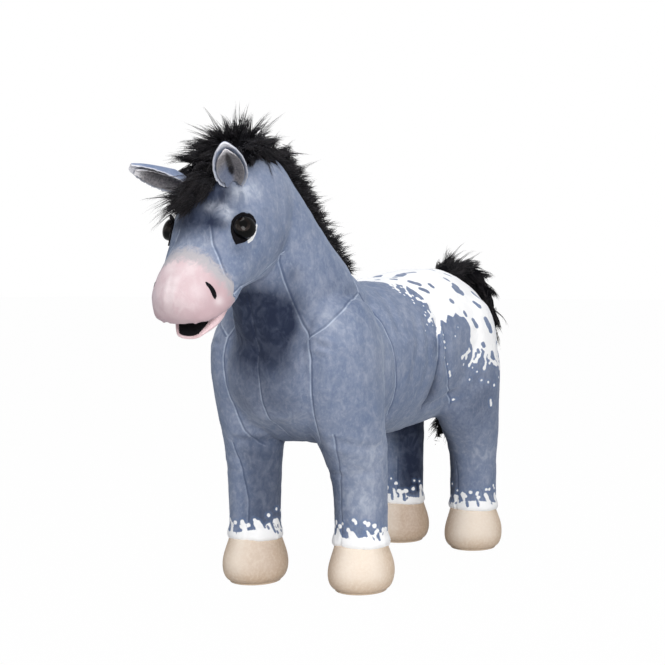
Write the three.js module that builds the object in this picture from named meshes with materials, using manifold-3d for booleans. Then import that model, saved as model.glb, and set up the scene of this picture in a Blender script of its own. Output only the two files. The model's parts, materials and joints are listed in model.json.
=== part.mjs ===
// A standing plush horse: stuffed body, neck, head and legs, plush hooves on flat soles, a pink muzzle
// over an open mouth lined with felt, plastic safety eyes with their washers, felt eye pads, cupped ears,
// and a mane, forelock and tail of long faux fur.
// Millimetres, +Z up. The horse looks along -Y and its left side is +X.
// The origin is on the floor under the middle of the whole toy.
import * as THREE from "three";
import { mergeVertices } from "three/addons/utils/BufferGeometryUtils.js";
import Module from "manifold-3d";

const wasm = await Module();
wasm.setup();

// Driving sizes.
const seamGap = 0.3; // between pieces that are sewn or glued together
const cutOverrun = 6; // how far a cutting shape runs past what it cuts
const bedding = 4; // how deep a tuft of fur starts under the skin that it is cut to

const torso = {
  chestEnd: -89,
  length: 235,
  width: 114,
  depth: 120,
  bellyHeight: 103,
  chestRound: 23,
  rumpRound: 21,
};
const neck = { reach: 33, rise: 67, width: 96, depth: 122 };
const head = { length: 125, slopeDegrees: 54.5, width: 66, depth: 66, pollRound: 14 };
const muzzle = { depth: 39, noseRound: 11 };
const muzzleShareOf = { headWidth: 0.85, headLength: 0.672 };
const muzzleWidth = muzzleShareOf.headWidth * head.width;
const faceShare = muzzleShareOf.headLength; // how much of the head lies above the muzzle seam
const mouth = { width: 56, gape: 11, liningThickness: 1.2, rim: 2.2, cornerRound: 0.6 };
const lip = { width: 36, depth: 16, tipRound: 5 };
const eye = { radius: 7.6, bulge: 4.4, rimHeight: 0.7, shankRadius: 2.2, shankLength: 14, size: 9 };
const washer = { radius: 7, thickness: 1.6, collarRadius: 3.8, collarHeight: 1.8, depth: 7 };
const eyePad = { width: 17.2, height: 20.6, thickness: 1.1 };
const eyeRim = { thickness: 0.8, grow: 1.05, slip: 0.9 };
const nostril = { length: 11, width: 2.6, thickness: 0.7, bow: 1.2, lean: 0.5 };
const ear = { length: 42, width: 22, cup: 11, wall: 2.2, liningThickness: 1, standoff: 0.6, hairRoom: 2 };
const earSwing = { back: -16, forward: 10, droop: 16, steps: 8, hairSteps: 5 };
const rightEarTurn = -32; // degrees; the right ear is sewn on turned about its own length
const leg = { width: 37 };
const hoof = { height: 33, width: 46.5, length: 53, soleGap: 0.3, soleThickness: 2.4 };
// Where the feet stand, as shares of the torso's width from the middle and of its length from the chest.
const stanceShares = {
  frontHalf: 0.358,
  hindHalf: 0.294,
  leftFront: 0.183,
  rightFront: 0.1085,
  leftHind: 0.966,
  rightHind: 0.945,
};
const mane = { width: 19, pollHeight: 29, withersHeight: 25, tufts: 8, tuftShare: 0.24 };
const forelock = { width: 56, height: 12 };
const tail = {
  width: 37,
  thickness: 22,
  drop: 146,
  dockRadius: 6,
  dockLength: 30,
  rootInset: 7,
  rootRise: 3,
  rumpGap: 1,
};
const tailSwing = { lift: 70, steps: 7 };

// How finely the forms are faceted.
const bodyFacets = 24;
const limbFacets = 16;
const hairFacets = 10;
const ringsPerSpan = 2;

const backHeight = torso.bellyHeight + torso.depth;

// Joining and cutting.

function solidOf(geometry) {
  const bare = geometry.clone();
  bare.deleteAttribute("normal");
  bare.deleteAttribute("uv");
  const merged = mergeVertices(bare);
  return new wasm.Manifold(
    new wasm.Mesh({
      numProp: 3,
      vertProperties: new Float32Array(merged.attributes.position.array),
      triVerts: new Uint32Array(merged.index.array),
    }),
  );
}

function geometryOf(solid) {
  const made = solid.getMesh();
  return new THREE.BufferGeometry()
    .setAttribute("position", new THREE.BufferAttribute(made.vertProperties, 3))
    .setIndex(new THREE.BufferAttribute(made.triVerts, 1));
}

function cut(solid, ...tools) {
  return tools.reduce((left, tool) => left.subtract(tool), solid);
}

// Trimming can leave crumbs beside the piece itself; only the piece is kept.
function mainPiece(solid) {
  return solid.decompose().reduce((best, one) => (one.volume() > best.volume() ? one : best));
}

// Stuffed forms.

// One section across a form: an oval with its own reach to the upper and the lower side.
function ovalSection(row, facets) {
  const points = [];
  for (let i = 0; i < facets; i++) {
    const turn = (2 * Math.PI * i) / facets;
    const sideways = Math.cos(turn) * row.half;
    const upwards = Math.sin(turn) * (Math.sin(turn) > 0 ? row.above : row.below);
    points.push(
      new THREE.Vector3(
        row.x + sideways,
        row.y + upwards * row.upY,
        row.z + upwards * row.upZ,
      ),
    );
  }
  return points;
}

// Rows are places along a form, from its nose end to its tail end. A smooth curve runs through them.
function smoothRows(rows, perSpan) {
  const columns = ["x", "y", "z", "half", "above", "below"];
  const values = rows.flatMap((row) => columns.map((name) => row[name] ?? 0));
  const curve = new THREE.CubicInterpolant(rows.map((_, i) => i), values, columns.length);
  const smooth = [];
  const spans = (rows.length - 1) * perSpan;
  for (let i = 0; i <= spans; i++) {
    const sampled = curve.evaluate(i / perSpan);
    smooth.push(Object.fromEntries(columns.map((name, c) => [name, sampled[c]])));
  }
  smooth.forEach((row, i) => {
    const before = smooth[Math.max(i - 1, 0)];
    const after = smooth[Math.min(i + 1, smooth.length - 1)];
    const along = Math.hypot(after.y - before.y, after.z - before.z);
    row.upY = -(after.z - before.z) / along;
    row.upZ = (after.y - before.y) / along;
  });
  return smooth;
}

// Rings that round off an end: each one further out and smaller.
function roundedEnd(row, reach, outward, rings = 3) {
  const made = [];
  for (let i = 1; i <= rings; i++) {
    const turn = (0.5 * Math.PI * i) / (rings + 0.25);
    const further = Math.sin(turn) * reach * outward;
    const smaller = Math.cos(turn);
    made.push({
      ...row,
      y: row.y + further * row.upZ,
      z: row.z - further * row.upY,
      half: row.half * smaller,
      above: row.above * smaller,
      below: row.below * smaller,
    });
  }
  return made;
}

// A stuffed form: its rows, swollen by grow on every side, closed by rounded or flat ends.
function formRings(form, grow = 0) {
  const { rows, perSpan = ringsPerSpan, facets = limbFacets, noseRound = 0, tailRound = 0 } = form;
  const smooth = smoothRows(rows, perSpan).map((row) => ({
    ...row,
    half: row.half + grow,
    above: row.above + grow,
    below: row.below + grow,
  }));
  const nose = noseRound ? roundedEnd(smooth[0], noseRound + grow, -1).reverse() : [];
  const rump = tailRound ? roundedEnd(smooth[smooth.length - 1], tailRound + grow, 1) : [];
  return [...nose, ...smooth, ...rump].map((row) => ovalSection(row, facets));
}

function skinBetween(rings) {
  const facets = rings[0].length;
  const points = rings.flat();
  const faces = [];
  for (let r = 0; r + 1 < rings.length; r++) {
    for (let i = 0; i < facets; i++) {
      const here = r * facets + i;
      const next = r * facets + ((i + 1) % facets);
      faces.push(here, here + facets, next, next, here + facets, next + facets);
    }
  }
  const last = (rings.length - 1) * facets;
  const middle = (ring) => ring.reduce((sum, p) => sum.add(p), new THREE.Vector3()).divideScalar(facets);
  const noseMiddle = points.push(middle(rings[0])) - 1;
  const tailMiddle = points.push(middle(rings[rings.length - 1])) - 1;
  for (let i = 0; i < facets; i++) {
    const next = (i + 1) % facets;
    faces.push(noseMiddle, i, next, tailMiddle, last + next, last + i);
  }
  return new THREE.BufferGeometry().setFromPoints(points).setIndex(faces);
}

function formSolid(form, grow = 0) {
  return solidOf(skinBetween(formRings(form, grow)));
}

const finePerSpan = 24;

// A point on a form's skin, with the way out of it: along is a share of the form's rows from its nose end,
// and turn goes round the section from the left side towards the upper side.
function skinPlace(form, along, turn) {
  const smooth = smoothRows(form.rows, finePerSpan);
  const row = smooth[Math.round(along * (smooth.length - 1))];
  const reach = Math.sin(turn) > 0 ? row.above : row.below;
  const upwards = Math.sin(turn) * reach;
  const point = new THREE.Vector3(
    row.x + Math.cos(turn) * row.half,
    row.y + upwards * row.upY,
    row.z + upwards * row.upZ,
  );
  const slope = (Math.sin(turn) * row.half) / reach;
  const out = new THREE.Vector3(Math.cos(turn), slope * row.upY, slope * row.upZ).normalize();
  return { point, out };
}

// The torso, from the chest to the rump. Shares: place along the length; underside and back as shares of
// the depth above the belly; half width as a share of the width.
const torsoShares = [
  [0.0, 0.14, 0.8, 0.4],
  [0.1, 0.03, 0.9, 0.48],
  [0.24, 0.0, 0.955, 0.505],
  [0.43, 0.0, 0.975, 0.49],
  [0.62, 0.02, 1.01, 0.475],
  [0.79, 0.06, 1.06, 0.475],
  [0.92, 0.13, 1.07, 0.455],
  [1.0, 0.22, 1.03, 0.4],
];
const torsoForm = {
  rows: torsoShares.map(([along, under, over, half]) => ({
    y: torso.chestEnd + along * torso.length,
    z: torso.bellyHeight + ((under + over) / 2) * torso.depth,
    half: half * torso.width,
    above: ((over - under) / 2) * torso.depth,
    below: ((over - under) / 2) * torso.depth,
  })),
  facets: bodyFacets,
  noseRound: torso.chestRound,
  tailRound: torso.rumpRound,
};

// The neck, from the poll down into the rib cage. Shares: place along the line; half width as a share of
// the width; crest and throat as shares of the depth.
const poll = new THREE.Vector3(0, torso.chestEnd - neck.reach, backHeight + neck.rise);
const neckRootShares = { along: 0.2, height: 0.52 };
const neckRoot = new THREE.Vector3(
  0,
  torso.chestEnd + neckRootShares.along * torso.length,
  torso.bellyHeight + neckRootShares.height * torso.depth,
);
const neckShares = [
  [0.0, 0.22, 0.19, 0.18],
  [0.22, 0.28, 0.25, 0.295],
  [0.5, 0.375, 0.31, 0.39],
  [0.76, 0.46, 0.41, 0.44],
  [1.0, 0.46, 0.49, 0.36],
];
const neckForm = {
  rows: neckShares.map(([along, half, crest, throat]) => {
    const place = new THREE.Vector3().lerpVectors(poll, neckRoot, along);
    return {
      y: place.y,
      z: place.z,
      half: half * neck.width,
      above: crest * neck.depth,
      below: throat * neck.depth,
    };
  }),
  facets: bodyFacets,
  noseRound: head.pollRound,
};

// The head runs down and forward from the poll. A place on it is a share of its length from the poll.
const headSlope = THREE.MathUtils.degToRad(head.slopeDegrees);
function headRow(along, half, above, below, lift = 0) {
  const reach = along * head.length;
  return {
    y: poll.y - reach * Math.cos(headSlope) - lift * Math.sin(headSlope),
    z: poll.z - reach * Math.sin(headSlope) + lift * Math.cos(headSlope),
    half,
    above,
    below,
  };
}

// Shares: place from the poll; half width as a share of the width; forehead and jaw as shares of the depth.
const headShares = [
  [0.56, 0.475, 0.39, 0.4],
  [0.45, 0.5, 0.47, 0.56],
  [0.32, 0.505, 0.53, 0.66],
  [0.18, 0.475, 0.545, 0.63],
  [0.04, 0.42, 0.455, 0.5],
];
const muzzleSeamShares = [0.45, 0.38, 0.23];
const headForm = {
  rows: [[faceShare, ...muzzleSeamShares], ...headShares].map(([along, half, above, below]) =>
    headRow(along, half * head.width, above * head.depth, below * head.depth),
  ),
  facets: bodyFacets,
  tailRound: head.pollRound,
};

const muzzleShares = [
  [0.9, 0.43, 0.56, 0.08],
  [0.84, 0.5, 0.61, 0.2],
  [0.77, 0.53, 0.64, 0.32],
];
const muzzleForm = {
  rows: [
    ...muzzleShares.map(([along, half, above, below]) =>
      headRow(along, half * muzzleWidth, above * muzzle.depth, below * muzzle.depth),
    ),
    headRow(
      faceShare + seamGap / head.length,
      muzzleSeamShares[0] * head.width,
      muzzleSeamShares[1] * head.depth,
      muzzleSeamShares[2] * head.depth,
    ),
  ],
  facets: bodyFacets,
  noseRound: muzzle.noseRound,
};

// The lower lip hangs open below the muzzle.
const lipShares = [
  [0.965, 0.32, 0.36, 0.2, -0.5],
  [0.91, 0.45, 0.46, 0.3, -0.58],
  [0.84, 0.5, 0.5, 0.4, -0.68],
  [0.74, 0.5, 0.5, 0.4, -0.7],
];
const lipForm = {
  rows: lipShares.map(([along, half, above, below, lift]) =>
    headRow(along, half * lip.width, above * lip.depth, below * lip.depth, lift * lip.depth),
  ),
  noseRound: lip.tipRound,
};

// The open mouth is the space between the two lips. It widens from its corners to its front.
const mouthShares = [
  [1.05, 0.5, 0.64, 0.64, -0.09],
  [0.95, 0.5, 0.42, 0.42, -0.18],
  [0.85, 0.46, 0.06, 0.06, -0.55],
];
const mouthForm = {
  rows: mouthShares.map(([along, half, above, below, lift]) =>
    headRow(along, half * mouth.width, above * mouth.gape, below * mouth.gape, lift * mouth.gape),
  ),
  tailRound: mouth.cornerRound,
};

// Where a leg meets its hoof, and how its middle runs from the foot to the shoulder or the hip. Shares:
// height between the hoof and the top; how far from the foot's place to the top's place; half width, front
// and rear as shares of the leg's width.
const frontLegShares = [
  [0.0, 0.0, 0.5, 0.5, 0.5],
  [0.14, 0.0, 0.485, 0.49, 0.49],
  [0.29, 0.06, 0.5, 0.52, 0.52],
  [0.42, 0.3, 0.56, 0.6, 0.58],
  [0.55, 0.68, 0.65, 0.76, 0.7],
  [0.72, 0.96, 0.71, 0.96, 0.86],
  [0.87, 1.0, 0.7, 0.98, 0.92],
  [1.0, 1.0, 0.53, 0.74, 0.78],
];
const hindLegShares = [
  [0.0, 0.0, 0.5, 0.5, 0.5],
  [0.15, 0.0, 0.475, 0.48, 0.48],
  [0.3, 0.1, 0.5, 0.54, 0.52],
  [0.43, 0.4, 0.57, 0.76, 0.6],
  [0.57, 0.8, 0.61, 1.1, 0.66],
  [0.72, 1.0, 0.63, 1.3, 0.7],
  [0.87, 1.0, 0.58, 1.2, 0.68],
  [1.0, 1.0, 0.42, 0.85, 0.6],
];
const legTop = { round: 12 };
const legTopShares = {
  half: 0.325,
  frontHeight: 0.79,
  frontPlace: 0.089,
  hindHeight: 0.77,
  hindPlace: 0.9,
};

function legForm(shares, side, foot, topPlace, topHeight) {
  const base = hoof.height + seamGap;
  const top = {
    x: legTopShares.half * torso.width,
    y: torso.chestEnd + topPlace * torso.length,
    z: torso.bellyHeight + topHeight * torso.depth,
  };
  return {
    rows: shares.map(([rise, inward, half, front, rear]) => ({
      x: side * THREE.MathUtils.lerp(foot.x, top.x, inward),
      y: THREE.MathUtils.lerp(foot.y, top.y, inward),
      z: THREE.MathUtils.lerp(base, top.z, rise),
      half: half * leg.width,
      above: front * leg.width,
      below: rear * leg.width,
    })),
    tailRound: legTop.round,
  };
}

// A hoof widens towards the floor and rounds in again above its sole. Shares: height; outline.
const hoofShares = [
  [0.0, 0.92],
  [0.09, 0.975],
  [0.25, 1.0],
  [0.55, 0.94],
  [0.82, 0.84],
  [1.0, 0.79],
];
function hoofForm(side, foot) {
  const base = hoof.soleThickness + hoof.soleGap;
  return {
    rows: hoofShares.map(([rise, share]) => ({
      x: side * foot.x,
      y: foot.y,
      z: THREE.MathUtils.lerp(base, hoof.height, rise),
      half: (share * hoof.width) / 2,
      above: (share * hoof.length) / 2,
      below: (share * hoof.length) / 2,
    })),
    perSpan: 1,
  };
}

function soleForm(side, foot) {
  const outline = hoofShares[0][1];
  return {
    rows: [0, hoof.soleThickness / 2, hoof.soleThickness].map((z) => ({
      x: side * foot.x,
      y: foot.y,
      z,
      half: (outline * hoof.width) / 2,
      above: (outline * hoof.length) / 2,
      below: (outline * hoof.length) / 2,
    })),
    perSpan: 1,
  };
}

const footAt = (half, place) => ({
  x: half * torso.width,
  y: torso.chestEnd + place * torso.length,
});
const legs = [
  ["front_left", 1, footAt(stanceShares.frontHalf, stanceShares.leftFront)],
  ["front_right", -1, footAt(stanceShares.frontHalf, stanceShares.rightFront)],
  ["hind_left", 1, footAt(stanceShares.hindHalf, stanceShares.leftHind)],
  ["hind_right", -1, footAt(stanceShares.hindHalf, stanceShares.rightHind)],
].map(([name, side, foot]) => ({
  name,
  side,
  foot,
  form: name.startsWith("front")
    ? legForm(frontLegShares, side, foot, legTopShares.frontPlace, legTopShares.frontHeight)
    : legForm(hindLegShares, side, foot, legTopShares.hindPlace, legTopShares.hindHeight),
}));

// Flat outlines pushed through a form's skin, to make patches that follow the skin.

// Axes at a place: out of the skin, up along it, and across it towards the tail.
function skinFrame({ point, out }, upward = new THREE.Vector3(0, 0, 1)) {
  const up = upward.clone().addScaledVector(out, -upward.dot(out)).normalize();
  const across = new THREE.Vector3().crossVectors(up, out);
  return new THREE.Matrix4().makeBasis(across, up, out).setPosition(point);
}

function pushedOutline(points, frame, depth) {
  const outline = new THREE.Shape(points.map(([u, v]) => new THREE.Vector2(u, v)));
  const block = new THREE.ExtrudeGeometry(outline, { depth: 2 * depth, bevelEnabled: false });
  block.translate(0, 0, -depth).applyMatrix4(frame);
  return solidOf(block);
}

function patchOn(form, points, frame, under, thickness) {
  const layer = formSolid(form, under + thickness).subtract(formSolid(form, under));
  return mainPiece(layer.intersect(pushedOutline(points, frame, head.width / 3)));
}

// The left eye's pad, as shares of half its width and half its height: a leaning almond, pointed in
// front below, with a corner of lashes behind above.
const padShares = [
  [-0.98, 0.12],
  [-0.88, 0.48],
  [-0.6, 0.78],
  [-0.15, 0.96],
  [0.35, 1.0],
  [0.72, 1.22],
  [1.1, 1.08],
  [1.0, 0.7],
  [0.98, 0.28],
  [0.82, -0.2],
  [0.5, -0.62],
  [0.02, -0.88],
  [-0.72, -1.04],
  [-0.9, -0.62],
  [-1.0, -0.22],
];
const padOutline = padShares.map(([u, v]) => [(u * eyePad.width) / 2, (v * eyePad.height) / 2]);
const rimOutline = padOutline.map(([u, v]) => [
  u * eyeRim.grow + eyeRim.slip / 2,
  v * eyeRim.grow - eyeRim.slip,
]);

const eyePlace = { along: 0.405, turnDegrees: 30 };
const eyeFrame = skinFrame(
  skinPlace(headForm, eyePlace.along, THREE.MathUtils.degToRad(eyePlace.turnDegrees)),
);
const rimUnder = seamGap;
const padUnder = rimUnder + eyeRim.thickness + seamGap;
const domeUnder = padUnder + eyePad.thickness + seamGap;

// A turned shape on the eye's own axis: pairs of radius and distance out of the skin.
function turnedOnEye(profile, facets) {
  const outline = profile.map(([radius, out]) => new THREE.Vector2(radius, out));
  const shape = new THREE.LatheGeometry(outline, facets);
  shape.rotateX(Math.PI / 2).applyMatrix4(eyeFrame);
  return solidOf(shape);
}

function domeProfile(radius, base, rim, bulge, steps = 5) {
  const points = [[0, base], [radius, base]];
  for (let i = 0; i <= steps; i++) {
    const turn = (0.5 * Math.PI * i) / steps;
    points.push([Math.cos(turn) * radius, rim + Math.sin(turn) * bulge]);
  }
  return points.map(([r, out]) => [Math.max(r, 0), out]);
}

const domeRim = domeUnder + eye.rimHeight;
const shankEnd = domeUnder - eye.shankLength;
const dome = turnedOnEye(domeProfile(eye.radius, -eye.bulge, domeRim, eye.bulge), limbFacets);
const shank = turnedOnEye(
  [[0, shankEnd], [eye.shankRadius, shankEnd], [eye.shankRadius, domeRim], [0, domeRim]],
  hairFacets,
);
const eyeSolid = mainPiece(dome.subtract(formSolid(headForm, domeUnder)).add(shank));
const shankHole = turnedOnEye(
  [
    [0, shankEnd - seamGap],
    [eye.shankRadius + seamGap, shankEnd - seamGap],
    [eye.shankRadius + seamGap, domeUnder + cutOverrun],
    [0, domeUnder + cutOverrun],
  ],
  hairFacets,
);

// The washer locks the shank inside the stuffing. The stuffing is open round the shank.
function washerProfile(grow) {
  const top = -washer.depth + grow;
  const under = -washer.depth - washer.thickness;
  const end = under - washer.collarHeight - grow;
  return [
    [0, end],
    [washer.collarRadius + grow, end],
    [washer.collarRadius + grow, under - grow],
    [washer.radius + grow, under - grow],
    [washer.radius + grow, top],
    [0, top],
  ];
}
const washerSolid = turnedOnEye(washerProfile(0), limbFacets).subtract(shankHole);
const washerPocket = turnedOnEye(washerProfile(seamGap), limbFacets);

const nostrilPlace = { along: 0.42, turnDegrees: 36 };
const nostrilFrame = skinFrame(
  skinPlace(muzzleForm, nostrilPlace.along, THREE.MathUtils.degToRad(nostrilPlace.turnDegrees)),
);
function slitOutline({ length, width, bow, lean }, steps = 6) {
  const side = (sign) =>
    Array.from({ length: steps + 1 }, (_, i) => {
      const v = (2 * i) / steps - 1;
      const across = bow * (1 - v * v) + (sign * width * (1 - v * v * v * v)) / 2;
      return [across - (lean * v * length) / 2, (v * length) / 2];
    });
  return [...side(1).slice(0, -1), ...side(-1).reverse().slice(0, -1)];
}

// Ears: a cupped leaf, with a thinner leaf of lining inside it. Shares: place from the base; half width;
// depth of the cup.
const earShares = [
  [0.0, 0.5, 0.6],
  [0.12, 0.76, 0.85],
  [0.3, 0.97, 1.0],
  [0.5, 1.0, 0.8],
  [0.7, 0.88, 0.6],
  [0.86, 0.64, 0.42],
  [1.0, 0.26, 0.2],
];
const steepestCup = 1.6;
const cupSeat = 0.8; // share of the cup's depth that lies behind its hinge
const earTip = new THREE.Vector3(20, -38, 29).normalize();
const earOpening = new THREE.Vector3(0.44, -0.39, -0.81);
const earBasePlace = { along: 0.71, turnDegrees: 54 };

// Places across the cup run from one rim (-1) to the other (1); under is how far in front of the back.
function cupRing([along, half, cup], under, thickness, spread, start, finish, steps = 6) {
  const v = THREE.MathUtils.lerp(start, finish, along) * ear.length;
  const across = Array.from({ length: steps + 1 }, (_, i) => (2 * i) / steps - 1);
  const place = (p, front) => {
    const reach = half * (ear.width / 2);
    const q = p * spread;
    const back = -cup * ear.cup * (cupSeat - q * q);
    const slant = Math.min(Math.hypot(1, (2 * cup * ear.cup * q) / reach), steepestCup);
    return new THREE.Vector3(q * reach, v, back + slant * (under + front * (1 - (p * p) / 2)));
  };
  return [
    ...across.map((p) => place(p, 0)),
    ...across.reverse().map((p) => place(p, thickness)),
  ];
}

function earFrame() {
  const opening = earOpening.clone().addScaledVector(earTip, -earOpening.dot(earTip)).normalize();
  const across = new THREE.Vector3().crossVectors(earTip, opening);
  const turn = THREE.MathUtils.degToRad(earBasePlace.turnDegrees);
  const { point } = skinPlace(headForm, earBasePlace.along, turn);
  return new THREE.Matrix4().makeBasis(across, earTip, opening).setPosition(point);
}
const leftEarFrame = earFrame();

function outwardSolid(rings) {
  const solid = solidOf(skinBetween(rings));
  return solid.volume() > 0 ? solid : solidOf(skinBetween([...rings].reverse()));
}

function earLeaf(under, thickness, spread, start, finish) {
  const rings = earShares.map((row) =>
    cupRing(row, under, thickness, spread, start, finish).map((p) => p.applyMatrix4(leftEarFrame)),
  );
  return outwardSolid(rings);
}
const leftHinge = {
  place: new THREE.Vector3().setFromMatrixPosition(leftEarFrame),
  axis: new THREE.Vector3().setFromMatrixColumn(leftEarFrame, 0),
};

function turnedAbout(solid, { place, axis }, degrees) {
  const turn = new THREE.Matrix4().makeRotationAxis(axis, THREE.MathUtils.degToRad(degrees));
  const move = new THREE.Matrix4()
    .makeTranslation(place.x, place.y, place.z)
    .multiply(turn)
    .multiply(new THREE.Matrix4().makeTranslation(-place.x, -place.y, -place.z));
  return solid.transform(move.elements.slice());
}

// What the ear may pass through as it swings is cut away beforehand, a step at a time.
function clearOfSwing(solid, standing, hinge, from, to, steps) {
  let left = solid;
  for (let i = 0; i <= steps; i++) {
    left = left.subtract(turnedAbout(standing, hinge, -THREE.MathUtils.lerp(from, to, i / steps)));
  }
  return mainPiece(left);
}

// Fur along the crest of the neck, standing in tufts, and over the poll between the ears.
const crestRows = smoothRows(neckForm.rows, finePerSpan);
function crestPlace(share) {
  const row = crestRows[Math.round(share * (crestRows.length - 1))];
  return { y: row.y + row.above * row.upY, z: row.z + row.above * row.upZ };
}
const maneStart = 0.02;
const maneEnd = 0.78;
const maneForm = {
  rows: Array.from({ length: 2 * mane.tufts + 1 }, (_, i) => {
    const place = crestPlace(THREE.MathUtils.lerp(maneStart, maneEnd, i / (2 * mane.tufts)));
    const height = THREE.MathUtils.lerp(mane.pollHeight, mane.withersHeight, i / (2 * mane.tufts));
    const fall = i % 2 ? 1 : 1 - mane.tuftShare;
    return { ...place, half: mane.width / 2, above: fall * height, below: bedding };
  }),
  facets: hairFacets,
  noseRound: bedding,
  tailRound: bedding,
};

// Shares: place from the poll; lift off the head's axis as a share of the head's depth; half width; then how
// far the hair stands off and reaches in. It bends over the skull to meet the mane.
const forelockShares = [
  [0.42, 0.47, 0.2, 0.28, 0.1],
  [0.33, 0.47, 0.34, 0.6, 0.3],
  [0.22, 0.47, 0.42, 0.92, 0.5],
  [0.12, 0.46, 0.48, 1.1, 0.6],
  [0.02, 0.42, 0.48, 1.12, 0.7],
  [-0.065, 0.31, 0.44, 1.08, 0.8],
  [-0.098, 0.13, 0.36, 1.05, 0.8],
  [-0.099, -0.05, 0.3, 1.0, 0.8],
  [-0.085, -0.2, 0.24, 0.8, 0.8],
];
const forelockForm = {
  rows: forelockShares.map(([along, rise, half, above, below]) => {
    const { width, height } = forelock;
    return headRow(along, half * width, above * height, below * height, rise * head.depth);
  }),
  noseRound: bedding,
  tailRound: bedding,
};

// The tail: a stuffed dock sewn to the rump, inside long fur that springs out and falls behind.
const rumpEnd = torso.chestEnd + torso.length;
const dockShares = [
  [-0.1, -0.02, 0.8],
  [0.35, 0.1, 1.0],
  [0.75, 0.13, 0.95],
  [1.0, 0.04, 0.7],
];
const tailRoot = { y: rumpEnd - tail.rootInset, z: backHeight + tail.rootRise };
const tailHinge = {
  place: new THREE.Vector3(0, tailRoot.y + tail.dockRadius, tailRoot.z),
  axis: new THREE.Vector3(1, 0, 0),
};
const dockForm = {
  rows: dockShares.map(([along, rise, size]) => ({
    y: tailRoot.y + along * tail.dockLength,
    z: tailRoot.z + rise * tail.dockLength,
    half: size * tail.dockRadius,
    above: size * tail.dockRadius,
    below: size * tail.dockRadius,
  })),
  facets: hairFacets,
  noseRound: bedding,
  tailRound: bedding,
};
// Shares of the tail's drop: place behind the root; place below it; sway to the left; then its half width
// and thickness as shares of its own.
const tailShares = [
  [0.03, 0.0, 0.0, 0.4, 0.5],
  [0.15, -0.03, 0.0, 0.42, 0.52],
  [0.29, -0.01, 0.02, 0.46, 0.52],
  [0.38, 0.14, 0.05, 0.5, 0.48],
  [0.385, 0.36, 0.06, 0.54, 0.46],
  [0.33, 0.6, 0.01, 0.54, 0.4],
  [0.25, 0.82, -0.06, 0.42, 0.3],
  [0.17, 1.0, -0.12, 0.18, 0.14],
];
const tailForm = {
  rows: tailShares.map(([back, fall, sway, half, thick]) => ({
    x: sway * tail.drop,
    y: tailRoot.y + back * tail.drop,
    z: tailRoot.z - fall * tail.drop,
    half: half * tail.width,
    above: thick * tail.thickness,
    below: thick * tail.thickness,
  })),
  facets: hairFacets,
  noseRound: bedding,
  tailRound: bedding,
};

// The solids, each smaller one cut back from the larger ones beside it.
const torsoSolid = formSolid(torsoForm);
const torsoCutter = formSolid(torsoForm, seamGap);
const neckCutter = formSolid(neckForm, seamGap);
const headCutter = formSolid(headForm, seamGap);
const mouthCutter = formSolid(mouthForm, mouth.liningThickness + seamGap);

const mirrored = (solid) => solid.mirror([1, 0, 0]);
const bothSides = (solid) => [
  ["left", solid],
  ["right", mirrored(solid)],
];

const horse = new THREE.Group();
function addPiece(name, solid, colour, roughness) {
  const material = new THREE.MeshStandardMaterial({ color: colour, roughness, metalness: 0 });
  const mesh = new THREE.Mesh(geometryOf(solid), material);
  mesh.name = name;
  horse.add(mesh);
}

const coatBlue = 0x6f7f9c;
const muzzlePink = 0xe3c6cb;
const hoofCream = 0xefe3d2;
const soleCream = 0xd8c4a6;
const earLiningGrey = 0xb9b0ab;
const furBlack = 0x1b1b1d;
const feltBlack = 0x141416;
const feltWhite = 0xf2f0ec;
const eyeBrown = 0x1d120d;
const washerWhite = 0xe6e4de;
const plush = 0.95;
const felt = 0.9;
const glossy = 0.08;

addPiece("torso", torsoSolid, coatBlue, plush);
addPiece("neck", mainPiece(cut(formSolid(neckForm), torsoCutter, headCutter)), coatBlue, plush);

const eyeWorks = bothSides(shankHole.add(washerPocket)).map(([, solid]) => solid);
addPiece("head", mainPiece(cut(formSolid(headForm), ...eyeWorks)), coatBlue, plush);

addPiece("muzzle", mainPiece(cut(formSolid(muzzleForm), mouthCutter)), muzzlePink, plush);
const lipTools = [formSolid(muzzleForm, seamGap), headCutter, neckCutter];
addPiece("lower_lip", mainPiece(cut(formSolid(lipForm), mouthCutter, ...lipTools)), muzzlePink, plush);
const mouthWalls = formSolid(muzzleForm, -mouth.rim).add(formSolid(lipForm, -mouth.rim));
const liningShell = formSolid(mouthForm, mouth.liningThickness).subtract(formSolid(mouthForm));
addPiece("mouth_lining", mainPiece(liningShell.intersect(mouthWalls)), feltBlack, felt);

const padSolid = patchOn(headForm, padOutline, eyeFrame, padUnder, eyePad.thickness);
const rimSolid = patchOn(headForm, rimOutline, eyeFrame, rimUnder, eyeRim.thickness);
const nostrilSolid = patchOn(muzzleForm, slitOutline(nostril), nostrilFrame, seamGap, nostril.thickness);
for (const [side, solid] of bothSides(eyeSolid)) addPiece(`eye_${side}`, solid, eyeBrown, glossy);
for (const [side, solid] of bothSides(washerSolid)) {
  addPiece(`eye_washer_${side}`, solid, washerWhite, 0.5);
}
for (const [side, solid] of bothSides(padSolid.subtract(shankHole))) {
  addPiece(`eye_pad_${side}`, solid, feltBlack, felt);
}
for (const [side, solid] of bothSides(rimSolid.subtract(shankHole))) {
  addPiece(`eye_rim_${side}`, solid, feltWhite, felt);
}
for (const [side, solid] of bothSides(nostrilSolid)) addPiece(`nostril_${side}`, solid, feltBlack, felt);

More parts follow.
